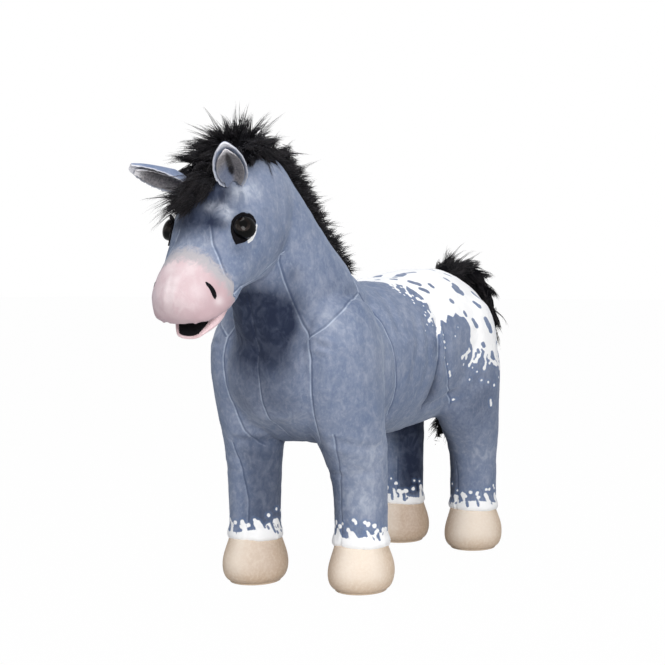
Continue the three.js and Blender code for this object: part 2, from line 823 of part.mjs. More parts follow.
const earStand = formSolid(headForm, ear.standoff);
const liningUnder = ear.wall + seamGap;
const leafSolid = earLeaf(0, ear.wall, 1, 0, 1);
const liningShares = { spread: 0.8, start: 0.06, finish: 0.9 };
const liningSolid = earLeaf(
  liningUnder,
  ear.liningThickness,
  liningShares.spread,
  liningShares.start,
  liningShares.finish,
);
const earBlockers = earStand.add(formSolid(neckForm, ear.standoff));
const { back, forward, droop, steps, hairSteps } = earSwing;
const clearEar = (solid) =>
  clearOfSwing(solid, earBlockers, leftHinge, back, forward + droop, steps);
const earLength = {
  place: leftHinge.place,
  axis: new THREE.Vector3().setFromMatrixColumn(leftEarFrame, 1),
};
const asRight = (solid) => turnedAbout(solid, earLength, rightEarTurn);
const rightPose = (solid) => mirrored(turnedAbout(clearEar(asRight(solid)), leftHinge, droop));
const roomThickness = liningUnder + ear.liningThickness + 3 * ear.hairRoom;
const roomShares = { spread: 1.12, start: -0.06, finish: 1.06 };
const { spread, start, finish } = roomShares;
const earRoom = earLeaf(-ear.hairRoom, roomThickness, spread, start, finish);
const earPoses = (room) =>
  Array.from({ length: hairSteps + 1 }, (_, i) =>
    turnedAbout(room, leftHinge, THREE.MathUtils.lerp(back, forward + droop, i / hairSteps)),
  );
const earSpace = [...earPoses(earRoom), ...earPoses(asRight(earRoom)).map(mirrored)];
addPiece("ear_left", clearEar(leafSolid), coatBlue, plush);
addPiece("ear_right", rightPose(leafSolid), coatBlue, plush);
addPiece("ear_lining_left", clearEar(liningSolid), earLiningGrey, plush);
addPiece("ear_lining_right", rightPose(liningSolid), earLiningGrey, plush);

for (const { name, side, foot, form } of legs) {
  addPiece(`leg_${name}`, mainPiece(cut(formSolid(form), torsoCutter, neckCutter)), coatBlue, plush);
  addPiece(`hoof_${name}`, formSolid(hoofForm(side, foot)), hoofCream, plush);
  addPiece(`sole_${name}`, formSolid(soleForm(side, foot)), soleCream, felt);
}

const maneCutters = [neckCutter, torsoCutter, headCutter];
addPiece("mane", mainPiece(cut(formSolid(maneForm), ...maneCutters)), furBlack, plush);
const forelockTools = [...maneCutters, formSolid(maneForm, seamGap), ...earSpace];
addPiece("forelock", mainPiece(cut(formSolid(forelockForm), ...forelockTools)), furBlack, plush);

const rump = formSolid(torsoForm, tail.rumpGap);
const { lift, steps: liftSteps } = tailSwing;
const clearTail = (solid) => clearOfSwing(solid, rump, tailHinge, 0, lift, liftSteps);
addPiece("tail_dock", clearTail(formSolid(dockForm)), coatBlue, plush);
const tailHair = cut(formSolid(tailForm), formSolid(dockForm, seamGap));
addPiece("tail_hair", clearTail(tailHair), furBlack, plush);

export default horse;
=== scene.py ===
# %% [markdown]
# A plush horse in Blender.
# The toy is stuffed short-pile plush, sewn from panels. Its skin is printed blue roan with a white blanket
# and white socks; the mane, forelock and tail are long black faux fur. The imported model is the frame: each
# solid already has its place, so every soft piece here starts from those places and is given its real
# softness, its seams and its pile.

import json
import math

import bmesh
import bpy
import numpy as np
from mathutils import Matrix, Vector
from mathutils.bvhtree import BVHTree
from mathutils.kdtree import KDTree


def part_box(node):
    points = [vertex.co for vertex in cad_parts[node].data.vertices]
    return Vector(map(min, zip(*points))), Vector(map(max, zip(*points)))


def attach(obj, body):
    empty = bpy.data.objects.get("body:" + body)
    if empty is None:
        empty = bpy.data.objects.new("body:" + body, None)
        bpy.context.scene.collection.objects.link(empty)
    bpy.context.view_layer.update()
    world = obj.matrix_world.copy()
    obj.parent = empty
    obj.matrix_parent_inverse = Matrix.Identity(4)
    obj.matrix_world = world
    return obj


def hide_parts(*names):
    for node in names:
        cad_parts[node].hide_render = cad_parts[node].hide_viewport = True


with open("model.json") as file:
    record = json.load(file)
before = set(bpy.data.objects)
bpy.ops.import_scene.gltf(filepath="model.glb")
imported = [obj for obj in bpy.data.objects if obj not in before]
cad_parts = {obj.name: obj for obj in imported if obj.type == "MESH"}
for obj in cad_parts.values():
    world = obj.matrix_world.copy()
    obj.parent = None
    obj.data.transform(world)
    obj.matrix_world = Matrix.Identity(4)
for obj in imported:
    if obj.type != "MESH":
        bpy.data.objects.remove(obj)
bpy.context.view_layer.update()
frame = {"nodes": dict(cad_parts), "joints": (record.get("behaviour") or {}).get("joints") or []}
bpy.ops.object.select_all(action="DESELECT")
MM = 0.001

# %% [markdown]
# The camera stands where the photographer stood: to the toy's left front, at the height of its back, with a
# long lens. A lens this long keeps the near and the far hooves close to one scale. It could also be placed by
# eye, but the four hooves gave its place exactly.

# %% Camera
view_turn, view_dip = math.radians(34), math.radians(2)
view = Vector((
    -math.sin(view_turn) * math.cos(view_dip),
    math.cos(view_turn) * math.cos(view_dip),
    -math.sin(view_dip),
))
bpy.ops.object.camera_add(location=(0.550, -0.8375, 0.217), rotation=view.to_track_quat("-Z", "Y").to_euler())
camera = bpy.context.object
camera.name = "photo_camera"
camera.data.lens = 71.57
camera.data.sensor_width = 36
bpy.context.scene.camera = camera
print("camera", tuple(round(c, 3) for c in camera.location))

# %% [markdown]
# Every look is built from nodes. One short helper adds a node, sets its values and joins its inputs, because
# long lists of links are hard to read.

# %% Node helpers
def add(tree, kind, props=None, **inputs):
    """Add a node. An input goes by its name, or by i and its number, and takes a value or a node's output."""
    node = tree.nodes.new("ShaderNode" + kind)
    for key, value in (props or {}).items():
        setattr(node, key, value)
    for key, value in inputs.items():
        numbered = key[0] == "i" and key[1:].isdigit()
        socket = node.inputs[int(key[1:]) if numbered else key.replace("_", " ")]
        if isinstance(value, bpy.types.NodeSocket):
            tree.links.new(value, socket)
        else:
            socket.default_value = (*value, 1) if socket.type == "RGBA" else value
    return node


def maths(tree, operation, a, b=0.0, clamp=False):
    return add(tree, "Math", {"operation": operation, "use_clamp": clamp}, i0=a, i1=b).outputs[0]


# %% [markdown]
# A studio for a pale catalogue picture: a big soft lamp overhead and a little to the front, one on the
# picture's right, a weaker one on its left, and a faint world that keeps the shadows open. The background and
# the floor are white only to the camera and in reflections, so they add no light of their own.

# %% Studio
LAMPS_AIM, FLOOR_WHITE = Vector((0, 0, 0.12)), 0.988


def add_lamp(name, place, size, power):
    bpy.ops.object.light_add(type="AREA", location=place)
    lamp = bpy.context.object
    lamp.name = name
    lamp.data.shape = "DISK"
    lamp.data.size = size
    lamp.data.energy = power
    lamp.rotation_euler = (LAMPS_AIM - Vector(place)).to_track_quat("-Z", "Y").to_euler()


def seen_white(tree, lit, kind, share, surface):
    """Show plain white where the camera, a reflection or a see-through thing looks straight at a surface."""
    ray = add(tree, "LightPath").outputs
    seen = maths(tree, "MAXIMUM", ray["Is Camera Ray"], ray["Is Glossy Ray"])
    seen = maths(tree, "MULTIPLY", maths(tree, "MAXIMUM", seen, ray["Is Transmission Ray"]), share)
    white = add(tree, kind, Color=(1, 1, 1), Strength=1.0).outputs[0]
    tree.links.new(add(tree, "MixShader", Fac=seen, i1=lit, i2=white).outputs[0], surface)


add_lamp("overhead_lamp", (0.10, -0.30, 1.5), 0.9, 12)
add_lamp("right_lamp", (1.15, -0.95, 0.55), 0.7, 16)
add_lamp("left_lamp", (-0.75, -1.4, 0.7), 0.9, 5.5)

world = bpy.data.worlds.new("studio")
bpy.context.scene.world = world
world.use_nodes = True
tree = world.node_tree
tree.nodes.clear()
room = add(tree, "Background", Color=(0.86, 0.89, 0.95), Strength=0.2)
seen_white(tree, room.outputs[0], "Background", 1.0, add(tree, "OutputWorld").inputs["Surface"])
bpy.context.scene.view_settings.view_transform = "Standard"

bpy.ops.mesh.primitive_plane_add(size=40, location=(0, 0, 0))
floor = bpy.context.object
floor.name = "studio_floor"
floor_paint = bpy.data.materials.new("studio_floor")
floor_paint.use_nodes = True
tree = floor_paint.node_tree
shader = tree.nodes["Principled BSDF"]
shader.inputs["Base Color"].default_value = (0.6, 0.6, 0.6, 1)
shader.inputs["Roughness"].default_value = 0.9
shader.inputs["Specular IOR Level"].default_value = 0.1
seen_white(tree, shader.outputs[0], "Emission", FLOOR_WHITE, tree.nodes["Material Output"].inputs["Surface"])
floor.data.materials.append(floor_paint)
print("lamps 3, floor", floor.dimensions[:])

# %% [markdown]
# Helpers for the work at the bench. Some apply a modifier at once, so that each step can be looked at, or copy
# the frame's solids as a pattern block to be covered with fabric. Some read and write all the points of a mesh
# together, which is quick on the fine meshes that soft fabric needs.

# %% Bench helpers
def only(piece):
    bpy.ops.object.select_all(action="DESELECT")
    piece.select_set(True)
    bpy.context.view_layer.objects.active = piece


def apply_modifier(piece, kind, **settings):
    only(piece)
    modifier = piece.modifiers.new(kind.title(), kind)
    for key, value in settings.items():
        setattr(modifier, key, value)
    bpy.ops.object.modifier_apply(modifier=modifier.name)


def bmesh_of(*meshes):
    bm = bmesh.new()
    for mesh in meshes:
        bm.from_mesh(mesh)
    return bm


def in_scene(name, mesh):
    piece = bpy.data.objects.new(name, mesh)
    bpy.context.scene.collection.objects.link(piece)
    return piece


def new_piece(name, bm):
    mesh = bpy.data.meshes.new(name)
    bm.to_mesh(mesh)
    bm.free()
    return in_scene(name, mesh)


def primitive(kind, name, **settings):
    bpy.ops.object.select_all(action="DESELECT")
    getattr(bpy.ops.mesh, f"primitive_{kind}_add")(**settings)
    piece = bpy.context.object
    piece.name = name
    return piece


def pattern_block(name, *nodes):
    bm = bmesh_of(*(frame["nodes"][node].data for node in nodes))
    bmesh.ops.remove_doubles(bm, verts=bm.verts, dist=2e-5)
    return new_piece(name, bm)


def read(items, key, size=3, kind=float):
    flat = np.empty(len(items) * size, kind)
    items.foreach_get(key, flat)
    return flat.reshape(-1, size)


def points_of(piece):
    return read(piece.data.vertices, "co")


def normals_of(piece):
    return read(piece.data.vertex_normals, "vector")


def set_points(piece, points):
    piece.data.vertices.foreach_set("co", np.ascontiguousarray(points, dtype=np.float32).ravel())
    piece.data.update()


def paint(piece, **numbers):
    """Paint numbers on the points of a piece, for its material to read."""
    for name, values in numbers.items():
        found = piece.data.attributes.get(name) or piece.data.attributes.new(name, "FLOAT", "POINT")
        found.data.foreach_set("value", np.ascontiguousarray(values, dtype=np.float32))


def point_tree(points):
    tree = KDTree(len(points))
    for i, p in enumerate(points):
        tree.insert(p, i)
    tree.balance()
    return tree


def face_tree(piece):
    data = piece.data
    return BVHTree.FromPolygons([v.co for v in data.vertices], [p.vertices for p in data.polygons])


def ramp(values, low, high):
    """0 at low, 1 at high, smooth between."""
    t = np.clip((values - low) / (high - low), 0, 1)
    return t * t * (3 - 2 * t)


def bell(values, width):
    """1 at nought, falling away softly on both sides."""
    return np.exp(-((values / width) ** 2))


def unit(v):
    return v / max(np.linalg.norm(v), 1e-9)


def units(rows):
    return rows / np.maximum(np.linalg.norm(rows, axis=-1, keepdims=True), 1e-9)


def smooth_shade(piece):
    piece.data.polygons.foreach_set("use_smooth", [True] * len(piece.data.polygons))


def hand_in(piece, body, node):
    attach(piece, body)
    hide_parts(node)


# %% [markdown]
# The skin is one surface on the real toy: panels sewn edge to edge and stuffed tight, so the joins between
# trunk, neck, head and legs are soft valleys. Building each part as a closed lump would leave hard notches
# where lumps meet. So the solids are copied, swollen a little until they overlap, and fused by a voxel remesh;
# a smoothing pass then relaxes the notches as stuffing does.

# %% Fuse the stuffed skin
SKIN_OVERLAP, SKIN_VOXEL = 0.0006, 2.2 * MM
SKIN_NODES = [
    "torso", "neck", "head", "muzzle",
    "leg_front_left", "leg_front_right", "leg_hind_left", "leg_hind_right",
]
skin = pattern_block("skin", *SKIN_NODES)
apply_modifier(skin, "DISPLACE", strength=SKIN_OVERLAP, mid_level=0.0)
apply_modifier(skin, "REMESH", mode="VOXEL", voxel_size=SKIN_VOXEL)
apply_modifier(skin, "SMOOTH", factor=0.5, iterations=10)
smooth_shade(skin)
print("skin", len(skin.data.vertices), "points")

# %% [markdown]
# The seams. Each is a run of points on the toy's left side, in millimetres, and the right side mirrors it.
# They could be cut with a knife tool, but a line of numbers is easier to move. The points are laid on the
# skin, and every later step asks how far a place is from the nearest seam.

# %% Seam lines
CENTRE_SEAMS = [
    [(0, -116, 214), (0, -115, 195), (-1, -113, 180), (-1, -111, 165), (0, -111, 152), (0, -108, 136),
     (0, -99, 124), (0, -85, 115), (0, -60, 106), (0, 0, 103), (0, 60, 104), (0, 100, 109), (0, 128, 125),
     (0, 142, 150), (0, 147, 185), (0, 146, 214)],
    [(0, -42, 227), (0, 10, 221), (0, 60, 225), (0, 100, 229), (0, 132, 228)],
]
SIDE_SEAMS = [
    [(21, -122, 240), (23, -115, 221), (26, -109, 206), (29, -103, 193), (35, -102, 181)],
    [(35, -102, 181), (38, -104, 167), (37, -103, 150), (34, -96, 132), (32, -87, 116), (29, -76, 106)],
    [(35, -102, 181), (45, -97, 189), (51, -86, 200), (46, -64, 208), (38, -46, 212)],
    [(38, -46, 212), (43, -36, 200), (51, -31, 186), (56, -29, 173), (57, -26, 157), (52, -21, 138),
     (47, -18, 126)],
    [(38, -46, 212), (26, -43, 221), (12, -42, 226), (0, -42, 227)],
    [(46, 49, 197), (51, 46, 185), (54, 43, 170), (53, 40, 153), (50, 35, 141), (43, 35, 127)],
    [(30, -178, 212), (29, -171, 217), (24, -157, 219), (20, -146, 221), (24, -140, 226), (25, -131, 233),
     (21, -122, 240)],
    [(52, 51, 181), (53, 50, 172), (54, 51, 162), (53, 57, 151), (48, 66, 139), (41, 82, 128)],
    [(13, -180, 253), (16, -182, 243), (21, -183, 236), (26, -183, 224), (29, -181, 218), (30, -178, 211)],
]
LEG_FRONT_SEAMS = [
    [(44, -86, 112), (39, -73, 92), (36, -66, 77), (35, -64, 62), (36, -64, 33)],
    [(-42, -90, 100), (-38, -83, 85), (-36, -82, 74), (-34, -81, 62), (-35, -81, 33)],
    [(28, 122, 70), (28, 121, 52), (28, 120, 33)],
    [(-28, 118, 70), (-28, 117, 52), (-28, 116, 33)],
]
LEG_BACKS = [(41, -28, -27), (-41, -45, -45), (34, 157, 157), (-34, 152, 152)]
LEG_BACK_SEAMS = [[(x, top, 84), (x, y, 60), (x, y, 33)] for x, top, y in LEG_BACKS]


def mirrored(line):
    return [(-x, y, z) for x, y, z in line]


seam_lines = CENTRE_SEAMS + SIDE_SEAMS + [mirrored(s) for s in SIDE_SEAMS] + LEG_FRONT_SEAMS + LEG_BACK_SEAMS


def laid_on_skin(line, tree, step=1.2):
    """Points in metres along a line, a step in millimetres apart, each on the skin, and their directions."""
    corners = np.array(line, float)
    runs = [
        a + (b - a) * np.linspace(0, 1, max(2, int(np.linalg.norm(b - a) / step)), endpoint=False)[:, None]
        for a, b in zip(corners, corners[1:])
    ]
    path = np.concatenate(runs + [corners[-1:]]) * MM
    for _ in range(3):
        path = np.array([tree.find_nearest(Vector(p))[0] for p in path])
        path[1:-1] = 0.25 * path[:-2] + 0.5 * path[1:-1] + 0.25 * path[2:]
    return path, np.gradient(path, axis=0)


def lay_lines(lines, piece):
    tree = face_tree(piece)
    laid = [laid_on_skin(line, tree) for line in lines]
    return np.concatenate([p for p, _ in laid]), np.concatenate([d for _, d in laid])


def beside(points, normals, path, directions, reach=12 * MM):
    """How far each point is from the nearest line, in metres: unsigned, and signed by its side."""
    tree = point_tree(path)
    off, side = np.full(len(points), reach), np.full(len(points), reach)
    inside = (points > path.min(0) - reach).all(1) & (points < path.max(0) + reach).all(1)
    for k in np.nonzero(inside)[0]:
        _, i, distance = tree.find(points[k])
        if distance < reach:
            off[k], side[k] = distance, i
    close = np.nonzero(off < reach)[0]
    nearest = side[close].astype(int)
    across = units(np.cross(units(directions[nearest]), normals[close]))
    side[close] = np.einsum("ij,ij->i", points[close] - path[nearest], across)
    return off, side


seam_path, seam_directions = lay_lines(seam_lines, skin)
print("seams", len(seam_lines), "lines,", len(seam_path), "points")

# %% [markdown]
# Stuffing swells a panel between its seams, and the thread holds the seams down. A cloth simulation with
# pressure does that by itself: the points beside a seam are pinned, the rest blows up a little, and nothing
# may move further than a real panel would. It runs on a coarse copy of the skin, because swelling is a slow,
# wide shape, and the fine skin then takes over the movement.

# %% Swell the panels between the seams
MOST_SWELL, DOCK_PLACE = 2.0 * MM, (0, 145, 226)


def swollen(piece, coarse_voxel, frames, pressure):
    coarse = new_piece("coarse_skin", bmesh_of(piece.data))
    apply_modifier(coarse, "REMESH", mode="VOXEL", voxel_size=coarse_voxel)
    before = points_of(coarse)
    near, _ = beside(before, normals_of(coarse), seam_path, seam_directions)
    _, y, z = (before / MM).T
    by_seam, hems = 1 - ramp(near, 2 * MM, 10 * MM), ramp(z, 66, 46)
    face = ramp(y, -122, -138) * ramp(z, 165, 185)
    tail_root = 1 - ramp(np.linalg.norm(before / MM - DOCK_PLACE, axis=1), 14, 26)
    pinned = np.maximum.reduce([by_seam, face, hems, tail_root])
    group = coarse.vertex_groups.new(name="seams")
    for i in np.nonzero(pinned > 0.02)[0]:
        group.add([int(i)], float(pinned[i]), "REPLACE")
    only(coarse)
    cloth = coarse.modifiers.new("Cloth", "CLOTH")
    fabric = cloth.settings
    fabric.quality = 4
    fabric.mass = 0.02
    fabric.tension_stiffness = fabric.compression_stiffness = 2
    fabric.bending_stiffness = 0.4
    fabric.use_pressure = True
    fabric.uniform_pressure_force = pressure
    fabric.vertex_group_mass = group.name
    fabric.effector_weights.gravity = 0
    cloth.point_cache.frame_start, cloth.point_cache.frame_end = 1, frames
    for f in range(1, frames + 1):
        bpy.context.scene.frame_set(f)
    bpy.ops.object.modifier_apply(modifier=cloth.name)
    bpy.context.scene.frame_set(1)
    move = points_of(coarse) - before
    length = np.linalg.norm(move, axis=1)
    held = MOST_SWELL * (1 - np.exp(-length / MOST_SWELL))
    move *= (held / np.maximum(length, 1e-9))[:, None]
    print("coarse points", len(before), "swelled", round(float(held.mean()) * 1000, 2), "mm on average,",
          round(float(held.max()) * 1000, 2), "mm at most")
    tree = point_tree(before)
    carried = np.zeros_like(points_of(piece))
    for k, p in enumerate(points_of(piece)):
        found = tree.find_n(p, 4)
        weights = np.array([1 / (distance + 1e-4) for _, _, distance in found])
        carried[k] = (move[[i for _, i, _ in found]] * weights[:, None]).sum(0) / weights.sum()
    bpy.data.objects.remove(coarse)
    return carried


set_points(skin, points_of(skin) + swollen(skin, coarse_voxel=4.5 * MM, frames=14, pressure=900.0))

# %% [markdown]
# Now the fine shape. One subdivision gives points about a millimetre apart, enough for a sewn groove. Every
# point is pulled down beside a seam, a wide soft dip with a narrow groove in it, and soft folds are pressed
# in where the legs bend against the body. Wide faint noise makes the surface a little uneven, as stuffing is.

# %% Groove the seams and press the folds
apply_modifier(skin, "SUBSURF", levels=1, render_levels=1)

FOLDS = {
    "pucker": ([(39, -103, 178), (45, -102, 177), (51, -98, 175)], 2.0, 1.5),
    "arm_fold_left": ([(43, -84, 109), (50, -80, 108), (58, -68, 106), (60, -50, 104)], 3.2, 1.1),
    "arm_fold_low_left": ([(47, -69, 90), (52, -65, 89), (58, -58, 89)], 3.0, 0.8),
    "arm_fold_right": ([(-40, -86, 107), (-34, -88, 106), (-23, -81, 106), (-19, -68, 105)], 3.0, 1.3),
    "arm_fold_low_right": ([(-44, -80, 92), (-38, -83, 90), (-30, -80, 91)], 3.5, 0.8),
    "flank_fold": ([(49, 27, 188), (54, 22, 170), (55, 21, 157), (50, 14, 140)], 4.0, 0.8),
    "middle_fold": ([(44, 17, 196), (53, 9, 180), (56, 0, 162), (55, -4, 148)], 4.0, 0.6),
    "withers_fold": ([(14, 2, 219), (30, -6, 211), (39, -11, 203), (48, -15, 191), (53, -15, 180)], 4.0, 0.9),
    "muzzle_crease": ([(0, -201, 222), (0, -204.5, 215), (0, -206, 208), (0, -205, 202)], 2.2, 0.3),
    "hip_crease": (
        [(50, 44, 187), (53, 42, 172), (54, 41, 160), (52, 40, 148), (49, 39, 138), (44, 38, 129)], 3.6, 1.7,
    ),
    "knee_fold_left": ([(28, -58, 88), (36, -64, 86), (46, -63, 86), (54, -54, 88)], 2.6, 0.6),
    "knee_fold_right": ([(-53, -72, 86), (-44, -82, 84), (-34, -82, 84), (-27, -74, 86)], 2.6, 0.6),
    "stifle_fold": ([(47, 84, 133), (43, 74, 131), (42, 60, 129), (42, 45, 126)], 3.5, 1.5),
    "haunch_fold": ([(47, 88, 128), (54, 95, 139), (58, 105, 147)], 4.5, 0.7),
    "cheek_fold": ([(33, -148, 262), (33, -143, 252), (32, -138, 246), (28, -131, 240)], 3.5, 0.9),
}


def press_folds(piece, folds):
    points, normals = points_of(piece), normals_of(piece)
    for name, (line, width, depth) in folds.items():
        both = [line] if name.endswith(("_left", "_right")) else [line, mirrored(line)]
        path, directions = lay_lines(both, piece)
        off, _ = beside(points, normals, path, directions)
        half = len(path) // 2
        ends = path[[0, -1]] if len(both) == 1 else path[[0, half - 1, half, -1]]
        fade = ramp(np.min(np.linalg.norm(points[:, None] - ends[None], axis=2), axis=1), 0, 7 * MM)
        dent = bell(off, width * MM) - 0.45 * bell(off / MM - 1.9 * width, width)
        points = points - normals * (dent * depth * MM * fade)[:, None]
    set_points(piece, points)


def groove_seams(piece):
    """A wide dip, a narrow groove in its middle and a faint lip beside the groove."""
    points, normals = points_of(piece), normals_of(piece)
    off, side = beside(points, normals, seam_path, seam_directions)
    deep = 0.75 * bell(off, 6.5 * MM) + 0.8 * bell(off, 1.0 * MM) - 0.15 * bell(off - 2.3 * MM, 1.2 * MM)
    set_points(piece, points - normals * (deep * MM)[:, None])
    paint(piece, seam_side=np.clip(side, -6 * MM, 6 * MM) * 1000, seam_off=np.minimum(off, 10 * MM) * 1000)


def uneven(piece, size, strength, seed):
    """Wide soft bumps, from Blender's own cloud noise."""
    cloud = bpy.data.textures.new(f"stuffing_{seed}", "CLOUDS")
    cloud.noise_scale = size
    cloud.noise_depth = 1
    spot = in_scene("noise_place", None)
    spot.location = (seed, 0.3 * seed, 0)
    bpy.context.view_layer.update()
    apply_modifier(
        piece, "DISPLACE", texture=cloud, texture_coords="OBJECT", texture_coords_object=spot,
        strength=strength, mid_level=0.5,
    )
    bpy.data.objects.remove(spot)


press_folds(skin, FOLDS)
groove_seams(skin)
uneven(skin, 0.022, 0.0014, 3)
uneven(skin, 0.006, 0.0004, 5)
smooth_shade(skin)
print("skin", len(skin.data.vertices), "points after one subdivision")

# %% [markdown]
# The printed pattern. The white blanket, its spots, its drips and the white socks are printed on the pile, so
# they are colour and not shape. A texture painted by hand would need an image; here each print is a plain
# outline in flat coordinates, and every point of the skin learns how far inside the outline it is. The
# material later turns that number into an edge.

# %% Outlines on flat cloth
def off_segment(flat, a, run):
    """How far each place is from the segment that starts at a and runs on by run."""
    t = np.clip((flat - a) @ run / max(run @ run, 1e-9), 0, 1)
    return np.linalg.norm(flat - a - t[:, None] * run, axis=1)


def outline_depth(flat, outline):
    """Millimetres inside a closed outline, negative outside."""
    corners = np.array(outline, float)
    best = np.full(len(flat), 1e9)
    inside = np.zeros(len(flat), bool)
    for a, b in zip(corners, np.roll(corners, -1, 0)):
        run = b - a
        best = np.minimum(best, off_segment(flat, a, run))
        crosses = (a[1] > flat[:, 1]) != (b[1] > flat[:, 1])
        if run[1]:
            inside ^= crosses & (flat[:, 0] < a[0] + run[0] * (flat[:, 1] - a[1]) / run[1])
    return np.where(inside, best, -best)


def stroke_depth(flat, strokes):
    """Millimetres inside the nearest of some round-ended strokes (x0, y0, x1, y1, radius)."""
    best = np.full(len(flat), -1e9)
    for x0, y0, x1, y1, radius in strokes:
        start, run = np.array([x0, y0], float), np.array([x1 - x0, y1 - y0], float)
        best = np.maximum(best, radius - off_segment(flat, start, run))
    return best


# %% [markdown]
# The blanket lies over the croup. Its flat coordinates are the way along the back, bent round the rump, and
# the way down from the spine. The left side follows the photograph's general lie; the right side, which it
# doesn't show, is the same kind of pattern with another set of spots.

# %% Blanket over the croup
BLANKET_EDGE = [
    (8, -30), (8, 4), (13, 12), (20, 12), (23, 24), (29, 22), (33, 27), (38, 28), (41, 36), (43, 46), (45, 54),
    (43, 62), (45, 69), (49, 71), (53, 66), (58, 68), (63, 62), (69, 64), (75, 61), (80, 64), (85, 65), (89, 70),
    (90, 77), (88, 84), (91, 91), (96, 94), (101, 92), (106, 96), (112, 94), (118, 98), (124, 95), (130, 99),
    (137, 96), (144, 100), (150, 97), (158, 101), (166, 98), (176, 100), (190, 100), (190, -30),
]
DRIP_ROOTS = [
    (90, 88, -1, 0.2), (88, 93, -1, 0.8), (93, 93, -0.6, 1), (99, 94, -0.3, 1), (105, 95, -0.5, 1), (109, 95, 0, 1),
    (115, 96, 0.3, 1), (121, 96, -0.2, 1), (127, 97, 0.2, 1), (132, 98, 0.2, 1), (139, 97, -0.3, 1),
    (146, 99, 0.3, 1), (152, 98, 0.2, 1), (160, 99, -0.2, 1), (166, 99, 0.2, 1), (172, 100, 0.1, 1),
    (20, 13, -0.6, 1), (30, 22, -0.6, 1), (37, 28, -0.5, 1), (43, 48, -1, 0.5), (44, 60, -1, 0.7), (49, 71, -0.4, 1),
]
WHITE_FLECKS = [
    (28, 38, 1.6), (26, 49, 1.2), (31, 61, 1.3), (51, 78, 1.0), (51, 84, 1.5), (51, 89, 1.1), (50, 97, 1.2),
    (83, 132, 0.9), (90, 116, 1.0), (107, 119, 1.1), (114, 122, 1.2), (24, 74, 0.8), (37, 52, 0.9), (126, 121, 1.1),
    (143, 124, 1.2), (155, 122, 1.0), (19, 30, 0.9), (36, 70, 0.8), (66, 80, 0.9), (72, 73, 0.8),
    (33, 41, 1.1), (35, 58, 0.9), (22, 40, 1.0), (30, 30, 1.2), (96, 110, 0.9), (101, 117, 0.8), (120, 116, 0.9),
    (40, 72, 1.0), (56, 102, 0.8), (133, 118, 0.8),
]
FLECK_STROKES = [(112, 134, 113, 138, 1.2), (40, 57, 42, 62, 1.2), (60, 108, 63, 112, 0.9)]


def drip_strokes(roots, seed):
    """Each drip wanders off the edge on a thin neck and ends in a round drop."""
    rng = np.random.default_rng(seed)
    strokes = []
    for u, v, du, dv in roots:
        steps = rng.integers(2, 4)
        way = np.array([du, dv]) / math.hypot(du, dv)
        place, radius = np.array([u, v], float), rng.uniform(1.3, 1.8)
        for k in range(steps):
            way = way + rng.normal(0, 0.38, 2)
            way /= np.linalg.norm(way)
            after = place + way * rng.uniform(3.2, 5.2)
            strokes.append((*place, *after, radius if k == 0 else rng.uniform(0.8, 1.15)))
            if k == 1 and rng.random() < 0.45:
                side = after + np.array([way[1], -way[0]]) * rng.choice((-1, 1)) * rng.uniform(2.5, 4)
                strokes.append((*after, *side, 0.85))
                strokes.append((*side, *side, rng.uniform(1.1, 1.5)))
            place = after
        strokes.append((*place, *(place + way * 0.8), rng.uniform(1.4, 2.0)))
        if rng.random() < 0.6:
            loose = place + way * rng.uniform(4, 7)
            strokes.append((*loose, *loose, rng.uniform(0.7, 1.2)))
    return strokes


BLUE_SPOTS_LEFT = [
    (58, 9, 70, 6, 3.4), (70, 6, 82, 12, 2.4), (46, 12, 48, 14, 1.4), (38, 15, 43, 18, 1.7), (52, 24, 58, 33, 2.4),
    (51, 35, 59, 41, 2.3), (69, 32, 69.5, 35, 2.0), (99, 28, 101, 31, 2.0), (101, 38, 93, 42, 3.8),
    (99, 41, 104, 45, 3.2), (79, 50, 80, 51, 2.0), (89, 62, 90, 64, 1.8), (98, 69, 101, 75, 2.1),
    (111, 54, 113, 60, 1.7), (114, 69, 117, 84, 2.2), (103, 88, 104, 91, 1.7), (97, 93, 98, 95, 1.4),
    (89, 89, 90, 92, 1.7), (126, 44, 128, 50, 2.4), (131, 72, 133, 78, 2.2), (124, 88, 126, 91, 1.6),
    (140, 60, 143, 64, 2.6), (150, 82, 152, 86, 2.0), (158, 52, 161, 58, 2.2), (165, 78, 168, 82, 2.4),
    (27, 8, 29, 10, 1.6), (122, 22, 124, 25, 1.5), (112, 12, 116, 15, 1.8),
]
BLUE_SPOTS_RIGHT = [
    (34, 12, 38, 14, 2.0), (52, 8, 62, 10, 2.8), (74, 14, 84, 12, 3.0), (48, 26, 55, 30, 2.6), (66, 24, 67, 28, 2.2),
    (86, 28, 92, 33, 3.4), (104, 24, 106, 27, 2.0), (58, 44, 64, 47, 2.4), (76, 42, 78, 46, 2.0),
    (95, 47, 99, 53, 3.2), (84, 58, 86, 61, 1.8), (110, 46, 113, 50, 2.4), (104, 68, 107, 74, 2.3),
    (119, 64, 121, 72, 1.9), (96, 80, 97, 84, 1.8), (112, 86, 114, 89, 1.7), (128, 80, 131, 86, 2.4),
    (136, 56, 139, 60, 2.2), (146, 74, 149, 77, 2.2), (156, 62, 158, 68, 1.9), (126, 36, 128, 38, 1.8),
]
RUMP_START, RUMP_ROUND = 95, 52
SIDE_TOP, SPINE_ROUND, SIDE_START = 165, 60, 94.2


